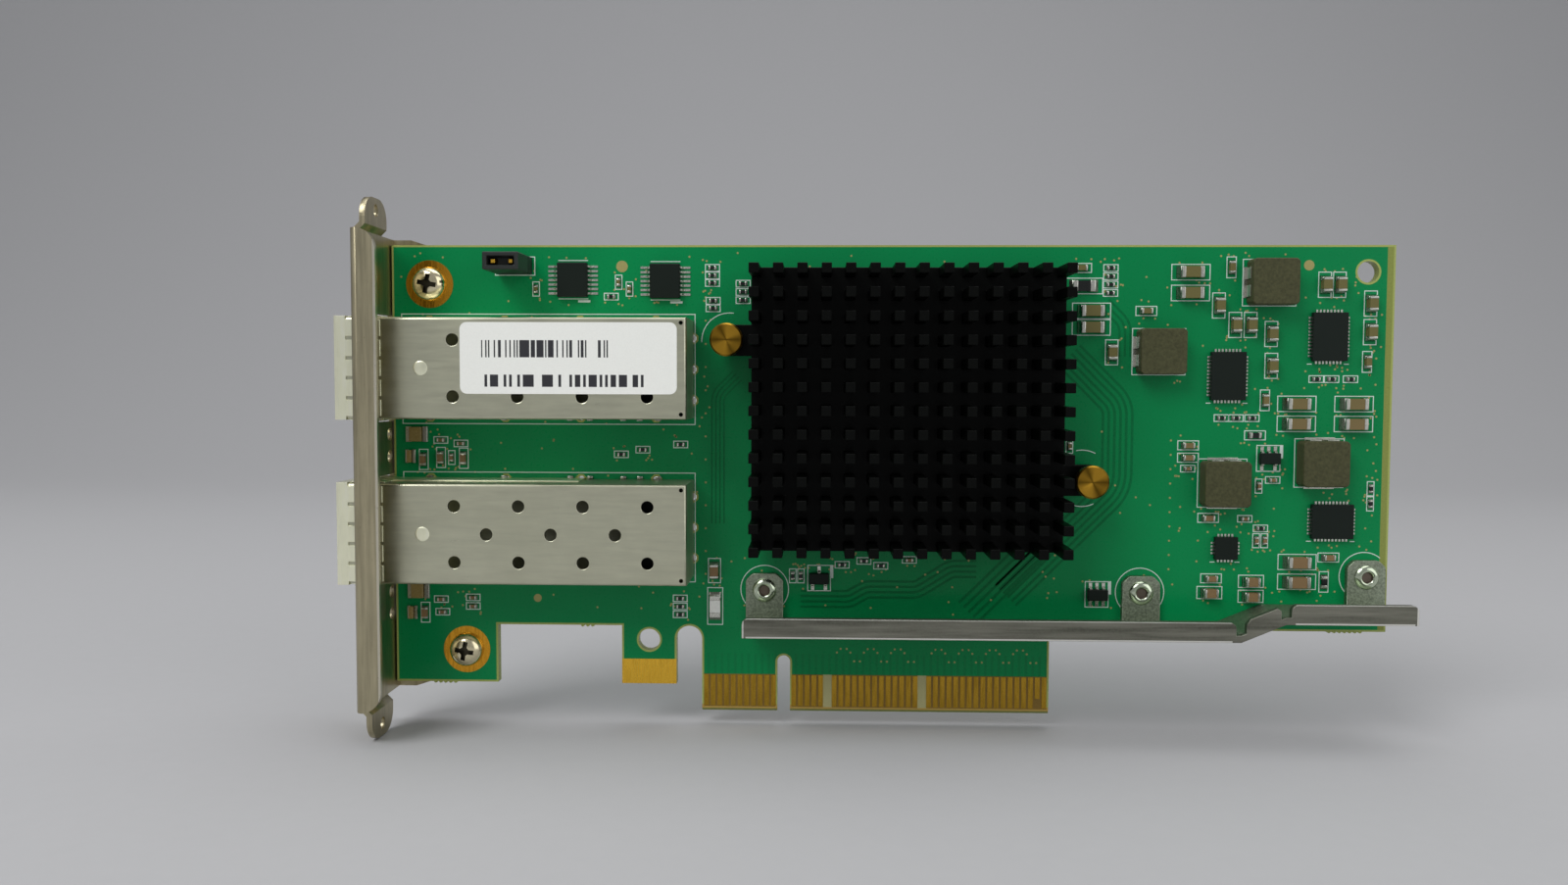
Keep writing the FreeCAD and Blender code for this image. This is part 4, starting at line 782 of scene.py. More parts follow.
# ------------------------------------------------------------ board
class CARD_OT_board(bpy.types.Operator):
    """Lacquer the board, plate its contacts and pads and bare its edges"""

    bl_idname = "card.board"
    bl_label = "Board"

    def execute(self, context):
        paint_node("circuit_board", "mask")
        for node in ("edge_contacts_front", "edge_contacts_back"):
            paint_node(node, "gold")
        self.pads()
        self.bare_edge("bare_edge_front", FACE, 0.012 * MM)
        self.bare_edge("bare_edge_back", BACK, -0.012 * MM)
        self.snap_off_nubs()
        return {"FINISHED"}

    def pads(self):
        mesh = bmesh.new()
        for box in islands("ground_pads"):
            size = box[1] - box[0]
            face = box[0].y
            if abs(size.x - size.z) > 0.1 * MM:
                add_box(mesh, box)
                continue
            r = peg_radius(box)
            add_turned(mesh, middle(box), [(r * 0.45, FACE), (r * 0.45, face), (r, face),
                                           (r, FACE), (r * 0.45, FACE)], 64)
        for face in mesh.faces:
            face.material_index = int(len(face.verts) < 5 and self.is_ring(face))
        new_piece("ground_pads_dressed", mesh, ("pad_gold", "ring_gold"),
                  ("ground_pads",))
        self.aiming_marks()

    def is_ring(self, face):
        """Whether a face belongs to one of the rings under the screws."""
        place = face.calc_center_median()
        return any((place.xz - middle(box).xz).length < 5 * MM
                   for box in islands("bracket_screws"))

    def aiming_marks(self):
        marks = bmesh.new()
        for x, z, radius in ((-23.9, 65.8, 0.85), (75.7, 66.0, 0.75), (-36.7, 16.7, 0.6)):
            add_prism(marks, spot(x, z), radius * MM, FACE - 0.02 * MM, FACE, 24)
        new_piece("aiming_marks", marks, "via")

    def bare_edge(self, name, level, rise):
        """Thin strip along every edge where the lacquer stops short."""
        mesh = welded("circuit_board")
        away = [face for face in mesh.faces
                if any(abs(vert.co.y - level) > WELD for vert in face.verts)]
        bmesh.ops.delete(mesh, geom=away, context="FACES")
        sheet = mesh.faces[:]
        bmesh.ops.inset_region(mesh, faces=sheet, use_boundary=True, use_even_offset=True,
                               thickness=0.28 * MM, depth=0)
        bmesh.ops.delete(mesh, geom=[face for face in sheet if face.is_valid],
                         context="FACES")
        raise_sheet(mesh, rise)
        new_piece(name, mesh, "laminate")

    def snap_off_nubs(self):
        """Stubs left where the panel was snapped apart."""
        mesh = bmesh.new()
        for x, z, count in ((-52.2, 4.0, 5), (-30.0, SHELF, 3), (79.9, SHELF, 7)):
            for step in range(count):
                add_prism(mesh, spot(x + step * 0.75, z), 0.27 * MM, FACE + 0.05 * MM,
                          BACK - 0.05 * MM, 8)
        new_piece("snap_off_nubs", mesh, "laminate")


def full_parts(bodies, ends):
    """Whole boxes of the chip parts whose ends are a node of their own."""
    caps = islands(ends)
    parts = []
    for body in islands(bodies):
        near = grown(body, JOIN, JOIN)
        touching = [cap for cap in caps
                    if all(cap[0][i] < near[1][i] and cap[1][i] > near[0][i]
                           for i in (0, 2))]
        low, high = body
        for cap in touching:
            low = Vector(map(min, low, cap[0]))
            high = Vector(map(max, high, cap[1]))
        parts.append((low, high))
    return parts


def ceramic_parts():
    parts = []
    for size in ("large", "medium", "small"):
        parts += full_parts(size + "_capacitor_bodies", size + "_capacitor_ends")
    return parts


def plain_parts():
    return islands("tiny_capacitors", "resistors")


def runs_along_x(box):
    size = box[1] - box[0]
    return size.x > size.z


def on_board(x, z):
    """Turns a flat shape round to lie on the board's face."""
    return Matrix.Translation((x, FACE, z)) @ Matrix.Rotation(math.radians(90), 4, "X")


def add_frame(mesh, box, line):
    """Adds a flat rectangle outline on the board."""
    centre = middle(box)
    size = box[1] - box[0]
    placed = on_board(centre.x, centre.z) @ Matrix.Diagonal((size.x, size.z, 1, 1))
    made = bmesh.ops.create_grid(mesh, x_segments=1, y_segments=1, size=0.5,
                                 matrix=placed)
    face = made["verts"][0].link_faces[0]
    bmesh.ops.inset_individual(mesh, faces=[face], thickness=line, use_even_offset=True)
    bmesh.ops.delete(mesh, geom=[face], context="FACES_ONLY")


def add_arc(mesh, centre, radius, line, start, sweep, steps=24):
    """Adds part of a flat ring on the board, in degrees from the right."""
    verts = [mesh.verts.new((centre.x + reach, FACE, centre.z))
             for reach in (radius - line, radius)]
    edge = mesh.edges.new(verts)
    bmesh.ops.rotate(mesh, verts=verts, cent=(centre.x, 0, centre.z),
                     matrix=Matrix.Rotation(math.radians(-start), 3, "Y"))
    spin_round(mesh, verts + [edge], centre, -sweep, steps)


def add_patch(mesh, x0, x1, z0, z1):
    """Adds a flat filled rectangle on the board."""
    placed = on_board((x0 + x1) / 2, (z0 + z1) / 2) @ Matrix.Diagonal(
        (x1 - x0, z1 - z0, 1, 1))
    bmesh.ops.create_grid(mesh, x_segments=1, y_segments=1, size=0.5, matrix=placed)


def raise_sheet(mesh, rise):
    """Gives flat shapes on the board a thickness."""
    made = bmesh.ops.extrude_face_region(mesh, geom=mesh.faces[:])
    bmesh.ops.translate(mesh, verts=verts_in(made["geom"]), vec=(0, -rise, 0))


class Plotter:
    """Draws a strip on the board with straight runs and turns."""

    def __init__(self, mesh, x, z, heading, width, aside=0.0):
        self.mesh = mesh
        self.heading = math.radians(heading)
        self.aside = aside
        self.at = Vector((x, FACE, z)) + self.left() * aside
        verts = [mesh.verts.new(self.at + self.left() * reach)
                 for reach in (-width / 2, width / 2)]
        self.edge = mesh.edges.new(verts)

    def left(self):
        return Vector((-math.sin(self.heading), 0, math.cos(self.heading)))

    def run(self, length):
        made = bmesh.ops.extrude_edge_only(self.mesh, edges=[self.edge])["geom"]
        step = Vector((math.cos(self.heading), 0, math.sin(self.heading))) * length
        verts = verts_in(made)
        bmesh.ops.translate(self.mesh, verts=verts, vec=step)
        self.edge = next(edge for edge in edges_in(made)
                         if all(vert in verts for vert in edge.verts))
        self.at += step

    def turn(self, degrees, radius, steps=6):
        """Turns left, or right where the angle is below zero."""
        side = 1 if degrees > 0 else -1
        reach = radius - side * self.aside
        centre = self.at + self.left() * side * reach
        angle = math.radians(degrees)
        made = bmesh.ops.spin(self.mesh, geom=[*self.edge.verts, self.edge], cent=centre,
                              axis=(0, 1, 0), dvec=(0, 0, 0), angle=-angle, steps=steps)
        self.edge = edges_in(made["geom_last"])[0]
        self.heading += angle
        self.at = centre - self.left() * side * reach


def lay_band(mesh, x, z, heading, moves, count, pitch, width):
    """Draws a band of like strips side by side, in millimetres."""
    for step in range(count):
        aside = (step - (count - 1) / 2) * pitch * MM
        pen = Plotter(mesh, x * MM, z * MM, heading, width * MM, aside)
        for move in moves:
            if isinstance(move, tuple):
                pen.turn(move[0], move[1] * MM)
            else:
                pen.run(move * MM)


class CARD_OT_legend(bpy.types.Operator):
    """Print the outlines round the parts on the board"""

    bl_idname = "card.legend"
    bl_label = "Legend"

    def execute(self, context):
        details = context.scene.card_details
        mesh = bmesh.new()
        line = details.legend_line
        for box in ceramic_parts() + plain_parts() + full_parts("fuse_body", "fuse_ends"):
            size = box[1] - box[0]
            length = max(size.x, size.z)
            along = 0.6 * MM + (length - 1.0 * MM) * 0.28
            across = 0.3 * MM + (length - 1.0 * MM) * 0.04
            reach = (along, across) if runs_along_x(box) else (across, along)
            add_frame(mesh, grown(box, *reach), line)
        self.round_inductors(mesh, line)
        self.round_chips(mesh, line)
        add_frame(mesh, grown(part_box("header_base"), 0.45 * MM, 0.15 * MM), line)
        for box in islands("stiffener_rivets"):
            past = middle(box).x + RIVET_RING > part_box("circuit_board")[1].x
            start, sweep = (50, 260) if past else (0, 360)
            add_arc(mesh, middle(box), RIVET_RING, line, start, sweep, 48)
        left_pin, right_pin = (middle(box) for box in islands("push_pins"))
        add_arc(mesh, left_pin, PIN_RING, line, 82, 100)
        add_arc(mesh, right_pin, PIN_RING, line, 62, 40)
        add_arc(mesh, right_pin, PIN_RING, line, 240, 55)
        for side in ("upper", "lower"):
            low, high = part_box(side + "_cage_cover")
            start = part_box("circuit_board")[0].x + 1.3 * MM
            add_frame(mesh, (Vector((start, FACE, low.z - 1.05 * MM)),
                             Vector((high.x + 0.3 * MM, FACE, high.z + 1.0 * MM))), line)
        raise_sheet(mesh, details.legend_rise)
        new_piece("board_legend", mesh, "legend")
        return {"FINISHED"}

    def round_inductors(self, mesh, line):
        tabs = islands("inductor_terminals")
        for box in islands("power_inductors"):
            beside = [tab for tab in tabs if abs(middle(tab).z - middle(box).z) < MM
                      and abs(middle(tab).x - middle(box).x) < 5 * MM]
            reach = (0.6 * MM, 0.12 * MM) if beside else (0.3 * MM, 0.3 * MM)
            add_frame(mesh, grown(box, *reach), line)

    def round_chips(self, mesh, line):
        tick = 0.7 * MM
        for low, high in islands("flat_chips"):
            for x, way in ((low.x - 0.5 * MM, 1), (high.x + 0.5 * MM, -1)):
                z = low.z - 0.5 * MM
                add_patch(mesh, min(x, x + way * tick), max(x, x + way * tick), z, z + line)
        for low, high in islands("amplifier_chips"):
            for z in (low.z - 0.3 * MM, high.z + 0.3 * MM):
                add_patch(mesh, low.x, high.x, z, z + line)
            add_patch(mesh, high.x - 1.5 * MM, high.x + 0.3 * MM, low.z - 0.75 * MM,
                      low.z - 0.42 * MM)
        for box in islands("transistor_chips"):
            frame_box = grown(box, 0.3 * MM, 1.15 * MM)
            add_frame(mesh, frame_box, line)
            add_patch(mesh, frame_box[1].x, frame_box[1].x + 0.35 * MM,
                      middle(box).z, frame_box[1].z)


class CARD_OT_traces(bpy.types.Operator):
    """Lay the tracks that show through the lacquer"""

    bl_idname = "card.traces"
    bl_label = "Tracks"

    def execute(self, context):
        mesh = bmesh.new()
        lay_band(mesh, 41.5, 52.9, -45, (8.6, (-45, 3.6), 8.6, (-45, 5.0), 20.5), 6, 0.85,
                 0.38)
        lay_band(mesh, 38.6, 26.4, -135, (16.0,), 5, 1.0, 0.42)
        lay_band(mesh, 2.5, 16.9, 0, (6.5, (30, 2.5), 1.6, (-30, 2.5), 6.0, (32, 2.5), 4.5,
                                      (-32, 2.5), 3.0), 4, 0.8, 0.36)
        lay_band(mesh, 46.5, 60.5, -45, (3.0, (-45, 3.0), 3.5), 3, 0.8, 0.34)
        lay_band(mesh, -9.8, 28.0, 90, (18.0, (-45, 2.5), 3.0), 4, 0.6, 0.24)
        raise_sheet(mesh, 0.008 * MM)
        new_piece("tracks", mesh, "trace")
        return {"FINISHED"}


class CARD_OT_vias(bpy.types.Operator):
    """Drill the vias round the parts, along the tracks and over the tongue"""

    bl_idname = "card.vias"
    bl_label = "Vias"

    def execute(self, context):
        details = context.scene.card_details
        chance = random.Random(11)
        parts = ceramic_parts() + plain_parts() + islands(
            "flat_chips", "amplifier_chips", "transistor_chips", "power_inductors",
            "bracket_screws", "ground_pads", "stiffener_rivets", "port_label")
        parts += [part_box("header_base"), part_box("heat_sink")]
        parts += [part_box(side + "_cage_cover") for side in ("upper", "lower")]
        places = []
        for low, high in parts[:-4]:
            for _ in range(4):
                x = chance.uniform(low.x - 1.3 * MM, high.x + 1.3 * MM)
                z = chance.choice((low.z - chance.uniform(0.5, 1.3) * MM,
                                   high.z + chance.uniform(0.5, 1.3) * MM))
                places.append(Vector((x, 0, z)))
        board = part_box("circuit_board")
        for _ in range(details.via_count):
            places.append(Vector((chance.uniform(board[0].x + MM, board[1].x - 2 * MM), 0,
                                  chance.uniform(13.5 * MM, board[1].z - MM))))
        places += [spot(56.4, 21.7 + step * 2.1) for step in range(10)]
        places += [spot(85.6 - step % 2 * 0.9, 26.0 + step * 1.9) for step in range(17)]
        places += [spot(-11.6 + step % 2 * 1.1, 20.5 + step * 1.7) for step in range(26)]
        grown_parts = [grown(box, 0.3 * MM, 0.3 * MM) for box in parts]
        clear = [place for place in places
                 if 13.5 * MM < place.z < board[1].z - 0.8 * MM
                 and board[0].x + 0.8 * MM < place.x < board[1].x - 1.6 * MM
                 and not any(low.x < place.x < high.x and low.z < place.z < high.z
                             for low, high in grown_parts)]
        clear += self.over_tongue()
        mesh = bmesh.new()
        for place in clear:
            add_prism(mesh, place, details.via_radius, FACE - 0.015 * MM,
                      BACK + 0.015 * MM, 8)
        new_piece("vias", mesh, "via", merge=False)
        return {"FINISHED"}

    def over_tongue(self):
        """Arches of vias over each pair of lanes."""
        lane = 4.0
        for start, count in ((8.9, 3), (22.9, 4)):
            for step in range(count):
                x = start + step * lane
                for shift, rise in ((-1.0, 0), (-0.45, 0.55), (0.45, 0.55), (1.0, 0),
                                    (1.55, -1.3), (2.4, -1.3)):
                    yield spot(x + shift, 8.9 + rise)


# ------------------------------------------------------------ sheet metal
class CARD_OT_bracket(bpy.types.Operator):
    """Finish the folded bracket"""

    bl_idname = "card.bracket"
    bl_label = "Bracket"

    def execute(self, context):
        soften("bracket", "bracket", 0.08 * MM, 2, 50, 40)
        return {"FINISHED"}


class CARD_OT_stiffener(bpy.types.Operator):
    """Finish the stiffener bar and its rivets"""

    bl_idname = "card.stiffener"
    bl_label = "Stiffener"

    def execute(self, context):
        mesh = merged_copy("stiffener_bar")
        corners = [edge for edge in mesh.edges if len(edge.link_faces) == 2
                   and 40 < math.degrees(edge.calc_face_angle(0)) < 50]
        break_edges(mesh, 0.3 * MM, 30, 3, corners)
        rims = [edge for edge in mesh.edges if len(edge.link_faces) == 2
                and math.degrees(edge.calc_face_angle(0)) > 60]
        break_edges(mesh, 0.14 * MM, 30, 2, rims)
        new_piece("stiffener_bar_dressed", mesh, "bar", ("stiffener_bar",),
                  35, False)
        mesh = bmesh.new()
        for box in islands("stiffener_rivets"):
            r = peg_radius(box)
            front, back = box[0].y, box[1].y
            head = r * 0.94
            steps = [(0, front + 0.42 * MM), (r * 0.36, front + 0.42 * MM),
                     (r * 0.42, front + 0.12 * MM), (r * 0.5, front + 0.01 * MM),
                     (r * 0.6, front), (head * 0.78, front + 0.1 * MM),
                     (head * 0.92, front + 0.26 * MM), (head, front + 0.5 * MM),
                     (r * 0.58, front + 0.5 * MM), (r * 0.58, BACK), (r, BACK),
                     (r * 0.9, back), (0, back)]
            add_turned(mesh, middle(box), steps)
            for face in mesh.faces:
                place = face.calc_center_median()
                if (place.xz - middle(box).xz).length < r * 0.39 and place.y < FACE:
                    face.material_index = 1
        new_piece("rivets_dressed", mesh, ("rivet", "bore"),
                  ("stiffener_rivets",), 35, flats=False)
        return {"FINISHED"}


class CARD_OT_screws(bpy.types.Operator):
    """Turn the two bracket screws with their cross recess"""

    bl_idname = "card.screws"
    bl_label = "Screws"

    def execute(self, context):
        mesh = bmesh.new()
        screws = islands("bracket_screws")
        for box in screws:
            r = peg_radius(box)
            front, back = box[0].y, box[1].y
            rise = FACE - front
            steps = [(0, front), (r * 0.35, front + rise * 0.02),
                     (r * 0.6, front + rise * 0.10), (r * 0.78, front + rise * 0.24),
                     (r * 0.91, front + rise * 0.44), (r * 0.985, front + rise * 0.68),
                     (r, front + rise * 0.85), (r * 0.98, front + rise * 0.96),
                     (r * 0.5, front + rise * 0.96), (r * 0.5, back), (0, back)]
            add_turned(mesh, middle(box), steps, 40)
        for x, z in ((1.4, 0.34), (0.34, 1.4), (0.66, 0.66)):
            blades = bmesh.new()
            for box in screws:
                centre = middle(box)
                deep = 0.8 if x == z else 1.1
                low = Vector((centre.x - x * MM, box[0].y - MM, centre.z - z * MM))
                high = Vector((centre.x + x * MM, box[0].y + deep * MM,
                               centre.z + z * MM))
                verts = add_box(blades, (low, high))
                turn = 55 if x == z else 10
                bmesh.ops.rotate(blades, verts=verts, cent=centre,
                                 matrix=Matrix.Rotation(math.radians(turn), 3, "Y"))
            mesh = carve(mesh, blades)
        for box in screws:
            self.darken_recess(mesh, box)
        new_piece("screws_dressed", mesh, ("screw", "recess"),
                  ("bracket_screws",), 35, flats=False)
        return {"FINISHED"}

    def darken_recess(self, mesh, box):
        """Walls and floor of the cross take the dark recess finish as painted shade."""
        for face in mesh.faces:
            place = face.calc_center_median()
            near = (place.xz - middle(box).xz).length < 1.6 * MM and place.y < FACE
            if near and (abs(face.normal.y) < 0.5 or place.y > box[0].y + 0.6 * MM):
                face.material_index = 1


class CARD_OT_cages(bpy.types.Operator):
    """Fold the port cages, punch their vents and fit their collars"""

    bl_idname = "card.cages"
    bl_label = "Cages"

    def execute(self, context):
        details = context.scene.card_details
        for side in ("upper", "lower"):
            self.cover(side + "_cage_cover", details)
            paint_node(side + "_cage_floor", "cage")
            soften(side + "_spring_collar", "collar", 0.03 * MM)
            paint_node(side + "_port_connector", "housing")
            paint_node(side + "_connector_contacts", "gold")
        return {"FINISHED"}

    def cover(self, node, details):
        low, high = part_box(node)
        body = bmesh.new()
        add_box(body, (low, Vector((high.x, FACE, high.z))))
        outer = [edge for edge in body.edges
                 if all(vert.co.y < low.y + WELD for vert in edge.verts)
                 and not all(vert.co.x < low.x + WELD for vert in edge.verts)]
        break_edges(body, details.fold, 30, 3, outer)
        cutters = bmesh.new()
        add_box(cutters, (low + Vector((-MM, SHEET, SHEET)),
                          Vector((high.x - SHEET, FACE + MM, high.z - SHEET))))
        body = carve(body, cutters)
        centre = (low.z + high.z) / 2
        vents = list(self.vent_places(high.x, centre))
        holes = bmesh.new()
        for place in vents:
            add_prism(holes, place, VENT_RADIUS, low.y - MM, low.y + MM, 28)
        for side in (low.z + 0.75 * MM, high.z - 0.75 * MM):
            add_prism(holes, Vector((high.x - 0.75 * MM, 0, side)), 0.3 * MM, low.y - MM,
                      low.y + MM, 12)
        body = carve(body, holes)
        bmesh.ops.remove_doubles(body, verts=body.verts[:], dist=CLOSE)
        rims = [edge for edge in body.edges if len(edge.link_faces) == 2
                and all(abs(vert.co.y - low.y) < WELD for vert in edge.verts)
                and any((vert.co.xz - place.xz).length < 0.9 * MM
                        for place in vents for vert in edge.verts[:1])]
        break_edges(body, 0.1 * MM, 45, 2, rims)
        for x0, x1, z in self.legs(low, high):
            add_block(body, x0, x1, FACE - 0.2 * MM, high.y, z, z + SHEET)
        for share in (-0.65, 0, 0.65):
            z = centre + share * (high.z - low.z) / 2
            add_block(body, high.x - SHEET, high.x, FACE - 0.2 * MM, high.y,
                      z - 0.35 * MM, z + 0.35 * MM)
        new_piece(node + "_dressed", body, "cage", (node,), 35)
        self.dimple(node, centre, low.y)
        self.side_flanges(node, low, high)
        self.rear_pins(node, low, high)

    def vent_places(self, rear, centre):
        last = rear - VENT_INSET
        for step in range(4):
            for sign in (-1, 1):
                yield Vector((last - step * VENT_PITCH, 0, centre + sign * VENT_ASIDE))
            if step < 3:
                yield Vector((last - (step + 0.5) * VENT_PITCH, 0, centre))

    def dimple(self, node, z, top):
        """Shallow locating mark pressed up near the bracket."""
        mesh = bmesh.new()
        r = 1.05 * MM
        steps = [(0, top - 0.05 * MM), (r * 0.75, top - 0.05 * MM),
                 (r * 0.95, top - 0.01 * MM), (r, top + 0.02 * MM), (0, top + 0.02 * MM)]
        add_turned(mesh, Vector((-50.7 * MM, 0, z)), steps, 28)
        new_piece(node + "_dimple", mesh, "collar", smooth=40, flats=False)

    def side_flanges(self, node, low, high):
        """Sides of the floor sheet, folded up outside the cover."""
        mesh = bmesh.new()
        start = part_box("circuit_board")[0].x + 0.6 * MM
        for z0, z1 in ((low.z - 0.16 * MM, low.z), (high.z, high.z + 0.16 * MM)):
            add_block(mesh, start, start + 28 * MM, FACE - 5.4 * MM, FACE, z0, z1)
        break_edges(mesh, 0.05 * MM, 30, 2)
        new_piece(node + "_side_flanges", mesh, "collar", smooth=40)

    def rear_pins(self, node, low, high):
        """Solder where the small pins of a cage pass through the board."""
        mesh = bmesh.new()
        length = high.x - low.x
        for share in (0.205, 0.43, 0.63, 0.69, 0.79, 0.84, 0.895):
            x = low.x + share * length
            for z in (low.z - 0.28 * MM, high.z + 0.28 * MM):
                add_block(mesh, x - 0.45 * MM, x + 0.45 * MM, FACE - 0.7 * MM, FACE,
                          z - 0.2 * MM, z + 0.2 * MM)
        break_edges(mesh, 0.12 * MM, 30, 2)
        new_piece(node + "_pins", mesh, "solder", smooth=40)

    def legs(self, low, high):
        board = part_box("circuit_board")[0].x
        start = board + 5.5 * MM
        reach = high.x - 11.0 * MM - board
        for share in (0, 1 / 3, 2 / 3, 1):
            x = start + share * reach
            for z in (low.z, high.z - SHEET):
                yield x - 0.35 * MM, x + 0.35 * MM, z


class CARD_OT_label(bpy.types.Operator):
    """Stick the label on the upper cage"""

    bl_idname = "card.label"
    bl_label = "Label"

    def execute(self, context):
        paint_node("port_label", "paper")
        return {"FINISHED"}


# ------------------------------------------------------------ heat sink
class CARD_OT_heat_sink(bpy.types.Operator):
    """Finish the heat sink and the controller under it"""

    bl_idname = "card.heat_sink"
    bl_label = "Heat sink"

    def execute(self, context):
        soften("heat_sink", "anodised", 0.07 * MM)
        paint_node("thermal_pad", "thermal")
        paint_node("controller_substrate", "substrate")
        paint_node("controller_lid", "tin")
        return {"FINISHED"}


class CARD_OT_push_pins(bpy.types.Operator):
    """Turn the brass push pins and wind their springs"""

    bl_idname = "card.push_pins"
    bl_label = "Push pins"

    def execute(self, context):
        mesh = bmesh.new()
        cutters = bmesh.new()
        for box, coil in zip(islands("push_pins"), islands("push_pin_springs")):
            centre = middle(box)
            r = peg_radius(box)
            front, back = box[0].y, box[1].y
            under = coil[0].y
            steps = [(0, front + 0.05 * MM), (r * 0.1, front + 0.05 * MM),
                     (r * 0.16, front), (r - 0.22 * MM, front), (r, front + 0.22 * MM),
                     (r, under - 0.12 * MM), (r - 0.1 * MM, under), (1.3 * MM, under),
                     (1.3 * MM, BACK), (1.95 * MM, BACK), (1.95 * MM, BACK + 0.3 * MM),
                     (0.8 * MM, back), (0, back)]
            add_turned(mesh, centre, steps)
            add_block(cutters, centre.x - 3 * MM, centre.x + 3 * MM,
                      BACK + 0.35 * MM, back + MM,
                      centre.z - 0.25 * MM, centre.z + 0.25 * MM)
        mesh = carve(mesh, cutters)
        new_piece("push_pins_dressed", mesh, "brass", ("push_pins",), 35,
                  flats=False)
        self.springs()
        return {"FINISHED"}

    def springs(self):
        mesh = bmesh.new()
        wire = 0.2 * MM
        turns, steps = 3, 28
        for coil in islands("push_pin_springs"):
            centre = middle(coil)
            radius = (coil[1].x - coil[0].x) / 2 - wire
            rise = (coil[1].y - coil[0].y - 2 * wire) / (turns * steps)
            start = Matrix.Translation((centre.x + radius, coil[1].y - wire, centre.z))
            made = bmesh.ops.create_circle(mesh, cap_ends=True, segments=10, radius=wire,
                                           matrix=start)
            face = made["verts"][0].link_faces[0]
            spin_round(mesh, [face], centre, 360 * turns, turns * steps, -rise)
        new_piece("springs_dressed", mesh, "spring", ("push_pin_springs",),
                  40, flats=False)


# ------------------------------------------------------------ small parts
def add_solder(mesh, end, away, reach):
    """Adds the solder that runs up from the pad to the end of a part."""
    low, high = end
    pad_low, pad_high = grown(end, 0.08 * MM, 0.08 * MM)
    if away.x + away.z > 0:
        pad_high = pad_high + away * reach
    else:
        pad_low = pad_low + away * reach
    pad_high.y = FACE
    pad_low.y = FACE - (high.y - low.y) * 0.72
    verts = add_box(mesh, (pad_low, pad_high))
    top = [vert for vert in verts if vert.co.y < FACE - WELD]
    for vert in top:
        vert.co.x = min(max(vert.co.x, low.x - 0.05 * MM), high.x + 0.05 * MM)
        vert.co.z = min(max(vert.co.z, low.z - 0.05 * MM), high.z + 0.05 * MM)
    slopes = [edge for edge in mesh.edges if all(vert in top for vert in edge.verts)]
    break_edges(mesh, min(reach * 0.4, 0.12 * MM), 20, 2, slopes)


def split_part(box, share):
    """Core and two ends of a chip part, and the way each end faces."""
    axis = 0 if runs_along_x(box) else 2
    start, stop = box[0][axis], box[1][axis]
    cut = (box[1] - box[0])[axis] * share
    way = Vector((0, 0, 0))
    way[axis] = 1

    def slice_of(first, last):
        low, high = box[0].copy(), box[1].copy()
        low[axis], high[axis] = first, last
        return low, high

    return (slice_of(start + cut, stop - cut), (slice_of(start, start + cut), -way),
            (slice_of(stop - cut, stop), way))


def chip_pieces(name, boxes, finish_name, share, details, bodies, ends=()):
    """Builds a set of chip parts: bodies, tinned ends and their solder."""
    body_mesh = bmesh.new()
    end_mesh = bmesh.new()
    solder_mesh = bmesh.new()
    lift = 0.02 * MM
    for box in boxes:
        core, *caps = split_part(box, share)
        aside = Vector((0, 0, lift)) if runs_along_x(box) else Vector((lift, 0, 0))
        add_box(body_mesh, (core[0] + aside + Vector((0, lift, 0)), core[1] - aside))
        size = box[1] - box[0]
        reach = max(size.x, size.z) * details.solder_reach / MM
        for end, away in caps:
            add_box(end_mesh, end)
            one = bmesh.new()
            add_solder(one, end, away, reach)
            add_mesh(solder_mesh, one)
    break_edges(end_mesh, details.chamfer, 30, 2)
    new_piece(name + "_body", body_mesh, finish_name, bodies)
    new_piece(name + "_tinned", end_mesh, "tin", ends, 40)
    new_piece(name + "_solder", solder_mesh, "solder", smooth=35)


class CARD_OT_ceramics(bpy.types.Operator):
    """Solder on the ceramic capacitors"""

    bl_idname = "card.ceramics"
    bl_label = "Capacitors"

    def execute(self, context):
        details = context.scene.card_details
        for size in ("large", "medium", "small"):
            bodies, ends = size + "_capacitor_bodies", size + "_capacitor_ends"
            chip_pieces(size + "_capacitors", full_parts(bodies, ends), "ceramic",
                        0.17, details, (bodies,), (ends,))
        chip_pieces("tiny_capacitors", islands("tiny_capacitors"), "ceramic",
                    0.24, details, ("tiny_capacitors",))
        return {"FINISHED"}


class CARD_OT_resistors(bpy.types.Operator):
    """Solder on the resistors and the fuse"""

    bl_idname = "card.resistors"
    bl_label = "Resistors"

    def execute(self, context):
        details = context.scene.card_details
        chip_pieces("resistors", islands("resistors"), "resistor", 0.22,
                    details, ("resistors",))
        chip_pieces("fuse", full_parts("fuse_body", "fuse_ends"), "alumina",
                    0.22, details, ("fuse_body",), ("fuse_ends",))
        return {"FINISHED"}


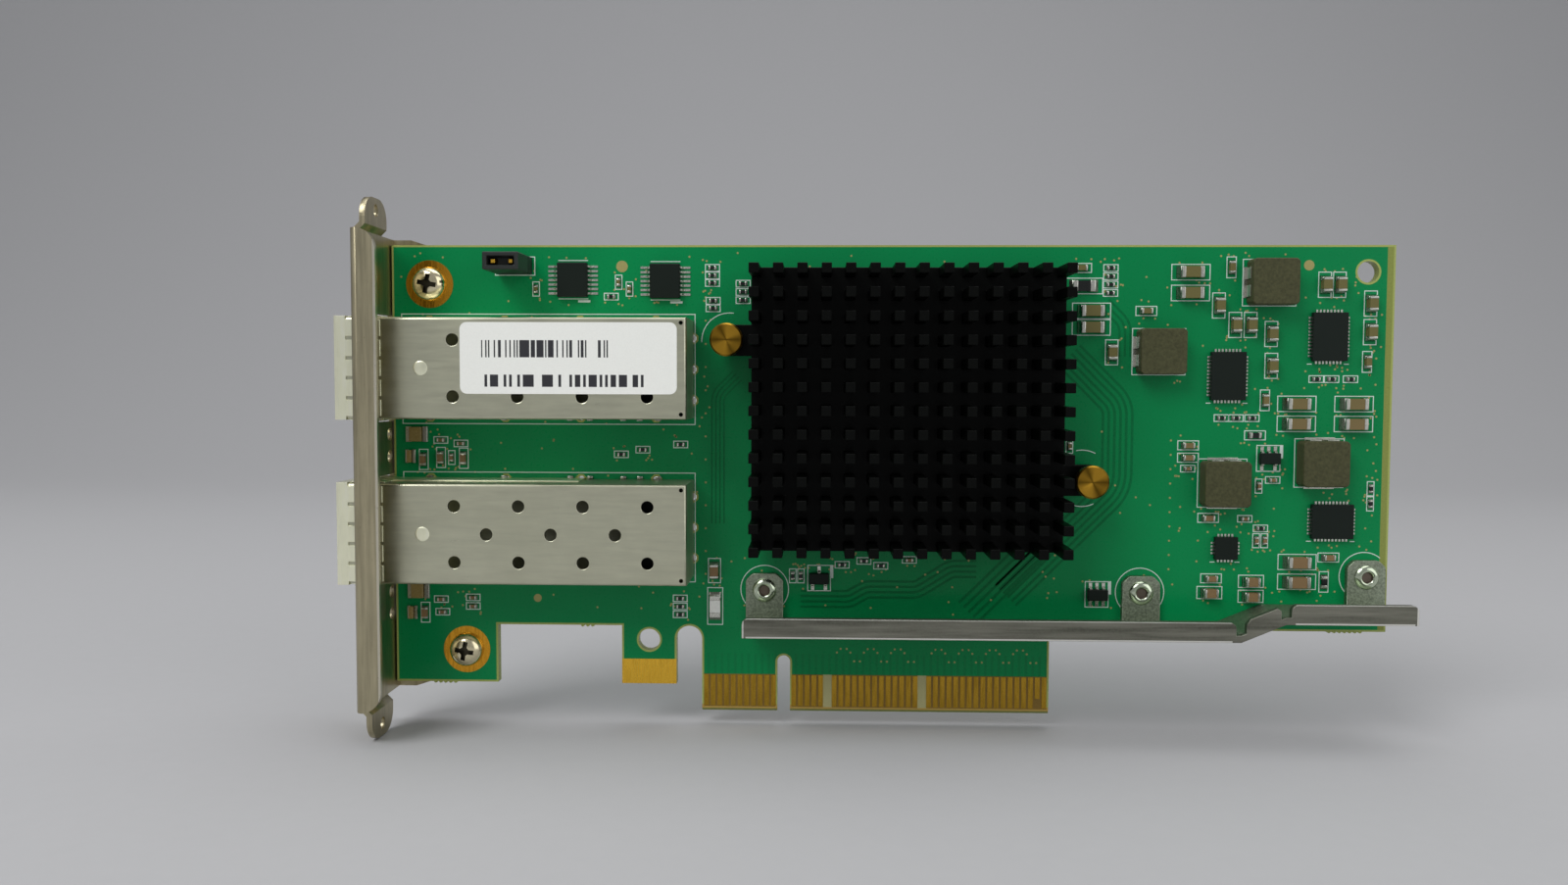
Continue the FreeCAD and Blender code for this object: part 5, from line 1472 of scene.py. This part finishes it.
class CARD_OT_inductors(bpy.types.Operator):
    """Fit the power inductors and fold their terminals"""

    bl_idname = "card.inductors"
    bl_label = "Inductors"

    def execute(self, context):
        soften("power_inductors", "ferrite", 0.16 * MM, 3, 35, 40)
        mesh = bmesh.new()
        bodies = islands("power_inductors")
        for box in islands("inductor_terminals"):
            home = min(bodies, key=lambda body: (middle(body) - middle(box)).length)
            away = middle(box) - middle(home)
            self.add_terminal(mesh, home, away)
        break_edges(mesh, 0.05 * MM, 30, 2)
        new_piece("inductor_terminals_dressed", mesh, "tin",
                  ("inductor_terminals",), 40)
        return {"FINISHED"}

    def add_terminal(self, mesh, home, away):
        """Foot on the board and two straps up the side of a body."""
        across_x = abs(away.x) > abs(away.z)
        sign = 1 if (away.x if across_x else away.z) > 0 else -1
        low, high = home
        wall = (high if sign > 0 else low)
        wall = wall.x if across_x else wall.z
        centre = middle(home).z if across_x else middle(home).x
        foot = (wall - sign * 0.6 * MM, wall + sign * 0.45 * MM)
        strap = (wall - sign * 0.02 * MM, wall + sign * 0.16 * MM)
        pieces = [(foot, (-2.2, 2.2), 0.14), (strap, (-2.1, -0.45), 1.9),
                  (strap, (0.45, 2.1), 1.9)]
        for reach, side, height in pieces:
            a, b = sorted(reach)
            c, d = centre + side[0] * MM, centre + side[1] * MM
            front = FACE - height * MM
            if across_x:
                add_block(mesh, a, b, front, FACE, c, d)
            else:
                add_block(mesh, c, d, front, FACE, a, b)


class CARD_OT_chips(bpy.types.Operator):
    """Fit the chips, their leads and their pads"""

    bl_idname = "card.chips"
    bl_label = "Chips"

    def execute(self, context):
        soften("flat_chips", "chip", 0.05 * MM)
        soften("amplifier_chips", "chip", 0.1 * MM)
        soften("transistor_chips", "chip", 0.08 * MM)
        for node in ("amplifier_leads", "transistor_leads"):
            soften(node, "tin", 0.02 * MM)
        self.pads()
        self.lead_pads()
        return {"FINISHED"}

    def pads(self):
        """Solder at the rims of the leadless chips."""
        mesh = bmesh.new()
        for low, high in islands("flat_chips"):
            centre = (low + high) / 2
            for length, along_x in ((high.x - low.x, True), (high.z - low.z, False)):
                count = int((length - 0.8 * MM) / PAD_PITCH)
                for step in range(count):
                    shift = (step - (count - 1) / 2) * PAD_PITCH
                    for wall in ((low.z, high.z) if along_x else (low.x, high.x)):
                        place = (Vector((centre.x + shift, 0, wall)) if along_x
                                 else Vector((wall, 0, centre.z + shift)))
                        reach = (0.14, 0.42) if along_x else (0.42, 0.14)
                        side = Vector((reach[0], 0, reach[1])) * MM
                        add_box(mesh, (place - side + Vector((0, FACE - 0.16 * MM, 0)),
                                       place + side + Vector((0, FACE, 0))))
        new_piece("chip_pads", mesh, "pad")

    def lead_pads(self):
        """Solder round the feet of the leads."""
        mesh = bmesh.new()
        chips = islands("amplifier_chips", "transistor_chips")
        for box in islands("amplifier_leads", "transistor_leads"):
            centre = middle(box)
            home = middle(min(chips, key=lambda chip: (middle(chip) - centre).length))
            away = centre - home
            size = box[1] - box[0]
            if size.x > size.z:
                shift = Vector((math.copysign(0.42 * MM, away.x), 0, 0))
            else:
                shift = Vector((0, 0, math.copysign(0.3 * MM, away.z)))
            low, high = grown(box, 0.04 * MM, 0.04 * MM)
            far_low, far_high = low + shift, high + shift
            add_block(mesh, min(low.x, far_low.x), max(high.x, far_high.x),
                      FACE - 0.13 * MM, FACE,
                      min(low.z, far_low.z), max(high.z, far_high.z))
        new_piece("lead_pads", mesh, "pad")


class CARD_OT_lights(bpy.types.Operator):
    """Fit the lights behind the bracket's holes"""

    bl_idname = "card.lights"
    bl_label = "Lights"

    def execute(self, context):
        resin = bmesh.new()
        ends = bmesh.new()
        for low, high in islands("status_lights"):
            cut = (high.x - low.x) * 0.16
            rim = Vector((0.1 * MM, 0, 0.08 * MM))
            add_box(resin, (Vector((low.x + cut, low.y, low.z)) + rim,
                            Vector((high.x - cut, FACE, high.z)) - rim))
            for x0, x1 in ((low.x, low.x + cut), (high.x - cut, high.x)):
                add_block(ends, x0, x1 + 0.25 * MM, low.y + 0.35 * MM, FACE,
                          low.z, high.z)
        break_edges(resin, 0.1 * MM, 30, 2)
        break_edges(ends, 0.05 * MM, 30, 1)
        new_piece("light_resin", resin, "resin", ("status_lights",), 40)
        new_piece("light_ends", ends, "tin")
        return {"FINISHED"}


class CARD_OT_jumper(bpy.types.Operator):
    """Fit the jumper header and its cap"""

    bl_idname = "card.jumper"
    bl_label = "Jumper"

    def execute(self, context):
        soften("header_base", "header", 0.1 * MM)
        soften("jumper_cap", "shunt", 0.12 * MM)
        soften("header_pins", "pad_gold", 0.08 * MM)
        return {"FINISHED"}


# ------------------------------------------------------------ stage
class CARD_OT_stage(bpy.types.Operator):
    """Place the floor, the lamps and the camera"""

    bl_idname = "card.stage"
    bl_label = "Stage"

    def execute(self, context):
        stage = context.scene.card_stage
        self.floor(stage)
        self.lamps(context, stage)
        self.camera(context, stage)
        return {"FINISHED"}

    def floor(self, stage):
        low = CAD_BOX[0].z - 0.0002
        mesh = bmesh.new()
        verts = [mesh.verts.new((x, FLOOR_FRONT, low)) for x in (-FLOOR_HALF, FLOOR_HALF)]
        edge = mesh.edges.new(verts)
        made = bmesh.ops.extrude_edge_only(mesh, edges=[edge])
        ends = verts_in(made["geom"])
        bmesh.ops.translate(mesh, verts=ends, vec=(0, FLOOR_DEPTH, 0))
        rim = [edge for edge in edges_in(made["geom"])
               if all(vert in ends for vert in edge.verts)]
        turned = bmesh.ops.spin(mesh, geom=ends + rim, axis=(1, 0, 0), dvec=(0, 0, 0),
                                cent=(0, FLOOR_FRONT + FLOOR_DEPTH, low + FLOOR_SWEEP),
                                angle=math.radians(90), steps=24)
        made = bmesh.ops.extrude_edge_only(mesh, edges=edges_in(turned["geom_last"]))
        ends = verts_in(made["geom"])
        bmesh.ops.translate(mesh, verts=ends, vec=(0, 0, WALL_HEIGHT))
        bmesh.ops.recalc_face_normals(mesh, faces=mesh.faces[:])
        data = bpy.data.meshes.new("stage_floor")
        mesh.to_mesh(data)
        mesh.free()
        data.shade_smooth()
        data.materials.append(floor_finish(stage.floor))
        sweep = bpy.data.objects.new("stage_floor", data)
        bpy.context.scene.collection.objects.link(sweep)

    def lamps(self, context, stage):
        target = Vector((0.015, 0, 0.035))
        for name, place, size, power in (
                ("key", (-0.50, -0.62, 0.85), 0.6, stage.key),
                ("fill", (0.75, -0.55, 0.35), 0.8, stage.key * 0.35),
                ("top", (0.1, 0.1, 0.9), 0.8, stage.key * 0.5)):
            lamp = bpy.data.lights.new(name, "AREA")
            lamp.size = size
            lamp.energy = power
            made = bpy.data.objects.new(name, lamp)
            made.location = place
            aim = target - Vector(place)
            made.rotation_euler = aim.to_track_quat("-Z", "Y").to_euler()
            context.scene.collection.objects.link(made)
        world = bpy.data.worlds.new("studio")
        world.use_nodes = True
        sky = world.node_tree.nodes["Background"]
        sky.inputs["Color"].default_value = (0.62, 0.63, 0.65, 1)
        sky.inputs["Strength"].default_value = 0.55
        context.scene.world = world

    def camera(self, context, stage):
        lens = bpy.data.cameras.new("camera")
        lens.sensor_width = 36
        lens.lens = stage.lens
        lens.clip_start = 0.01
        made = bpy.data.objects.new("camera", lens)
        pitch, roll, yaw = stage.tilt
        upright = Matrix.Rotation(math.radians(90), 4, "X")
        turn = (Matrix.Rotation(yaw, 4, "Z") @ Matrix.Rotation(pitch, 4, "X")
                @ Matrix.Rotation(roll, 4, "Y"))
        made.matrix_world = Matrix.Translation(stage.eye) @ turn @ upright
        context.scene.collection.objects.link(made)
        context.scene.camera = made
        context.scene.view_settings.view_transform = "Standard"


# ------------------------------------------------------------ panel
STEPS = (CARD_OT_board, CARD_OT_legend, CARD_OT_traces, CARD_OT_vias,
         CARD_OT_bracket, CARD_OT_stiffener,
         CARD_OT_screws, CARD_OT_cages, CARD_OT_label, CARD_OT_heat_sink,
         CARD_OT_push_pins, CARD_OT_ceramics, CARD_OT_resistors, CARD_OT_inductors,
         CARD_OT_chips, CARD_OT_lights, CARD_OT_jumper, CARD_OT_stage)
GROUPS = (("card_colours", CardColours), ("card_details", CardDetails),
          ("card_stage", CardStage))


class CARD_PT_panel(bpy.types.Panel):
    """Settings and steps of the card"""

    bl_idname = "CARD_PT_panel"
    bl_label = "Network Interface Card"
    bl_space_type = "VIEW_3D"
    bl_region_type = "UI"
    bl_category = "Card"

    def draw(self, context):
        for name, group in GROUPS:
            box = self.layout.box()
            for key in group.__annotations__:
                box.prop(getattr(context.scene, name), key)
        for step in STEPS:
            self.layout.operator(step.bl_idname)


CLASSES = tuple(group for _, group in GROUPS) + STEPS + (CARD_PT_panel,)


def register():
    for one in CLASSES:
        bpy.utils.register_class(one)
    for name, group in GROUPS:
        setattr(bpy.types.Scene, name, bpy.props.PointerProperty(type=group))


def unregister():
    for name, _ in GROUPS:
        delattr(bpy.types.Scene, name)
    for one in reversed(CLASSES):
        bpy.utils.unregister_class(one)


def main():
    register()
    for step in STEPS:
        group, name = step.bl_idname.split(".")
        getattr(getattr(bpy.ops, group), name)()


if __name__ == "__main__":
    main()
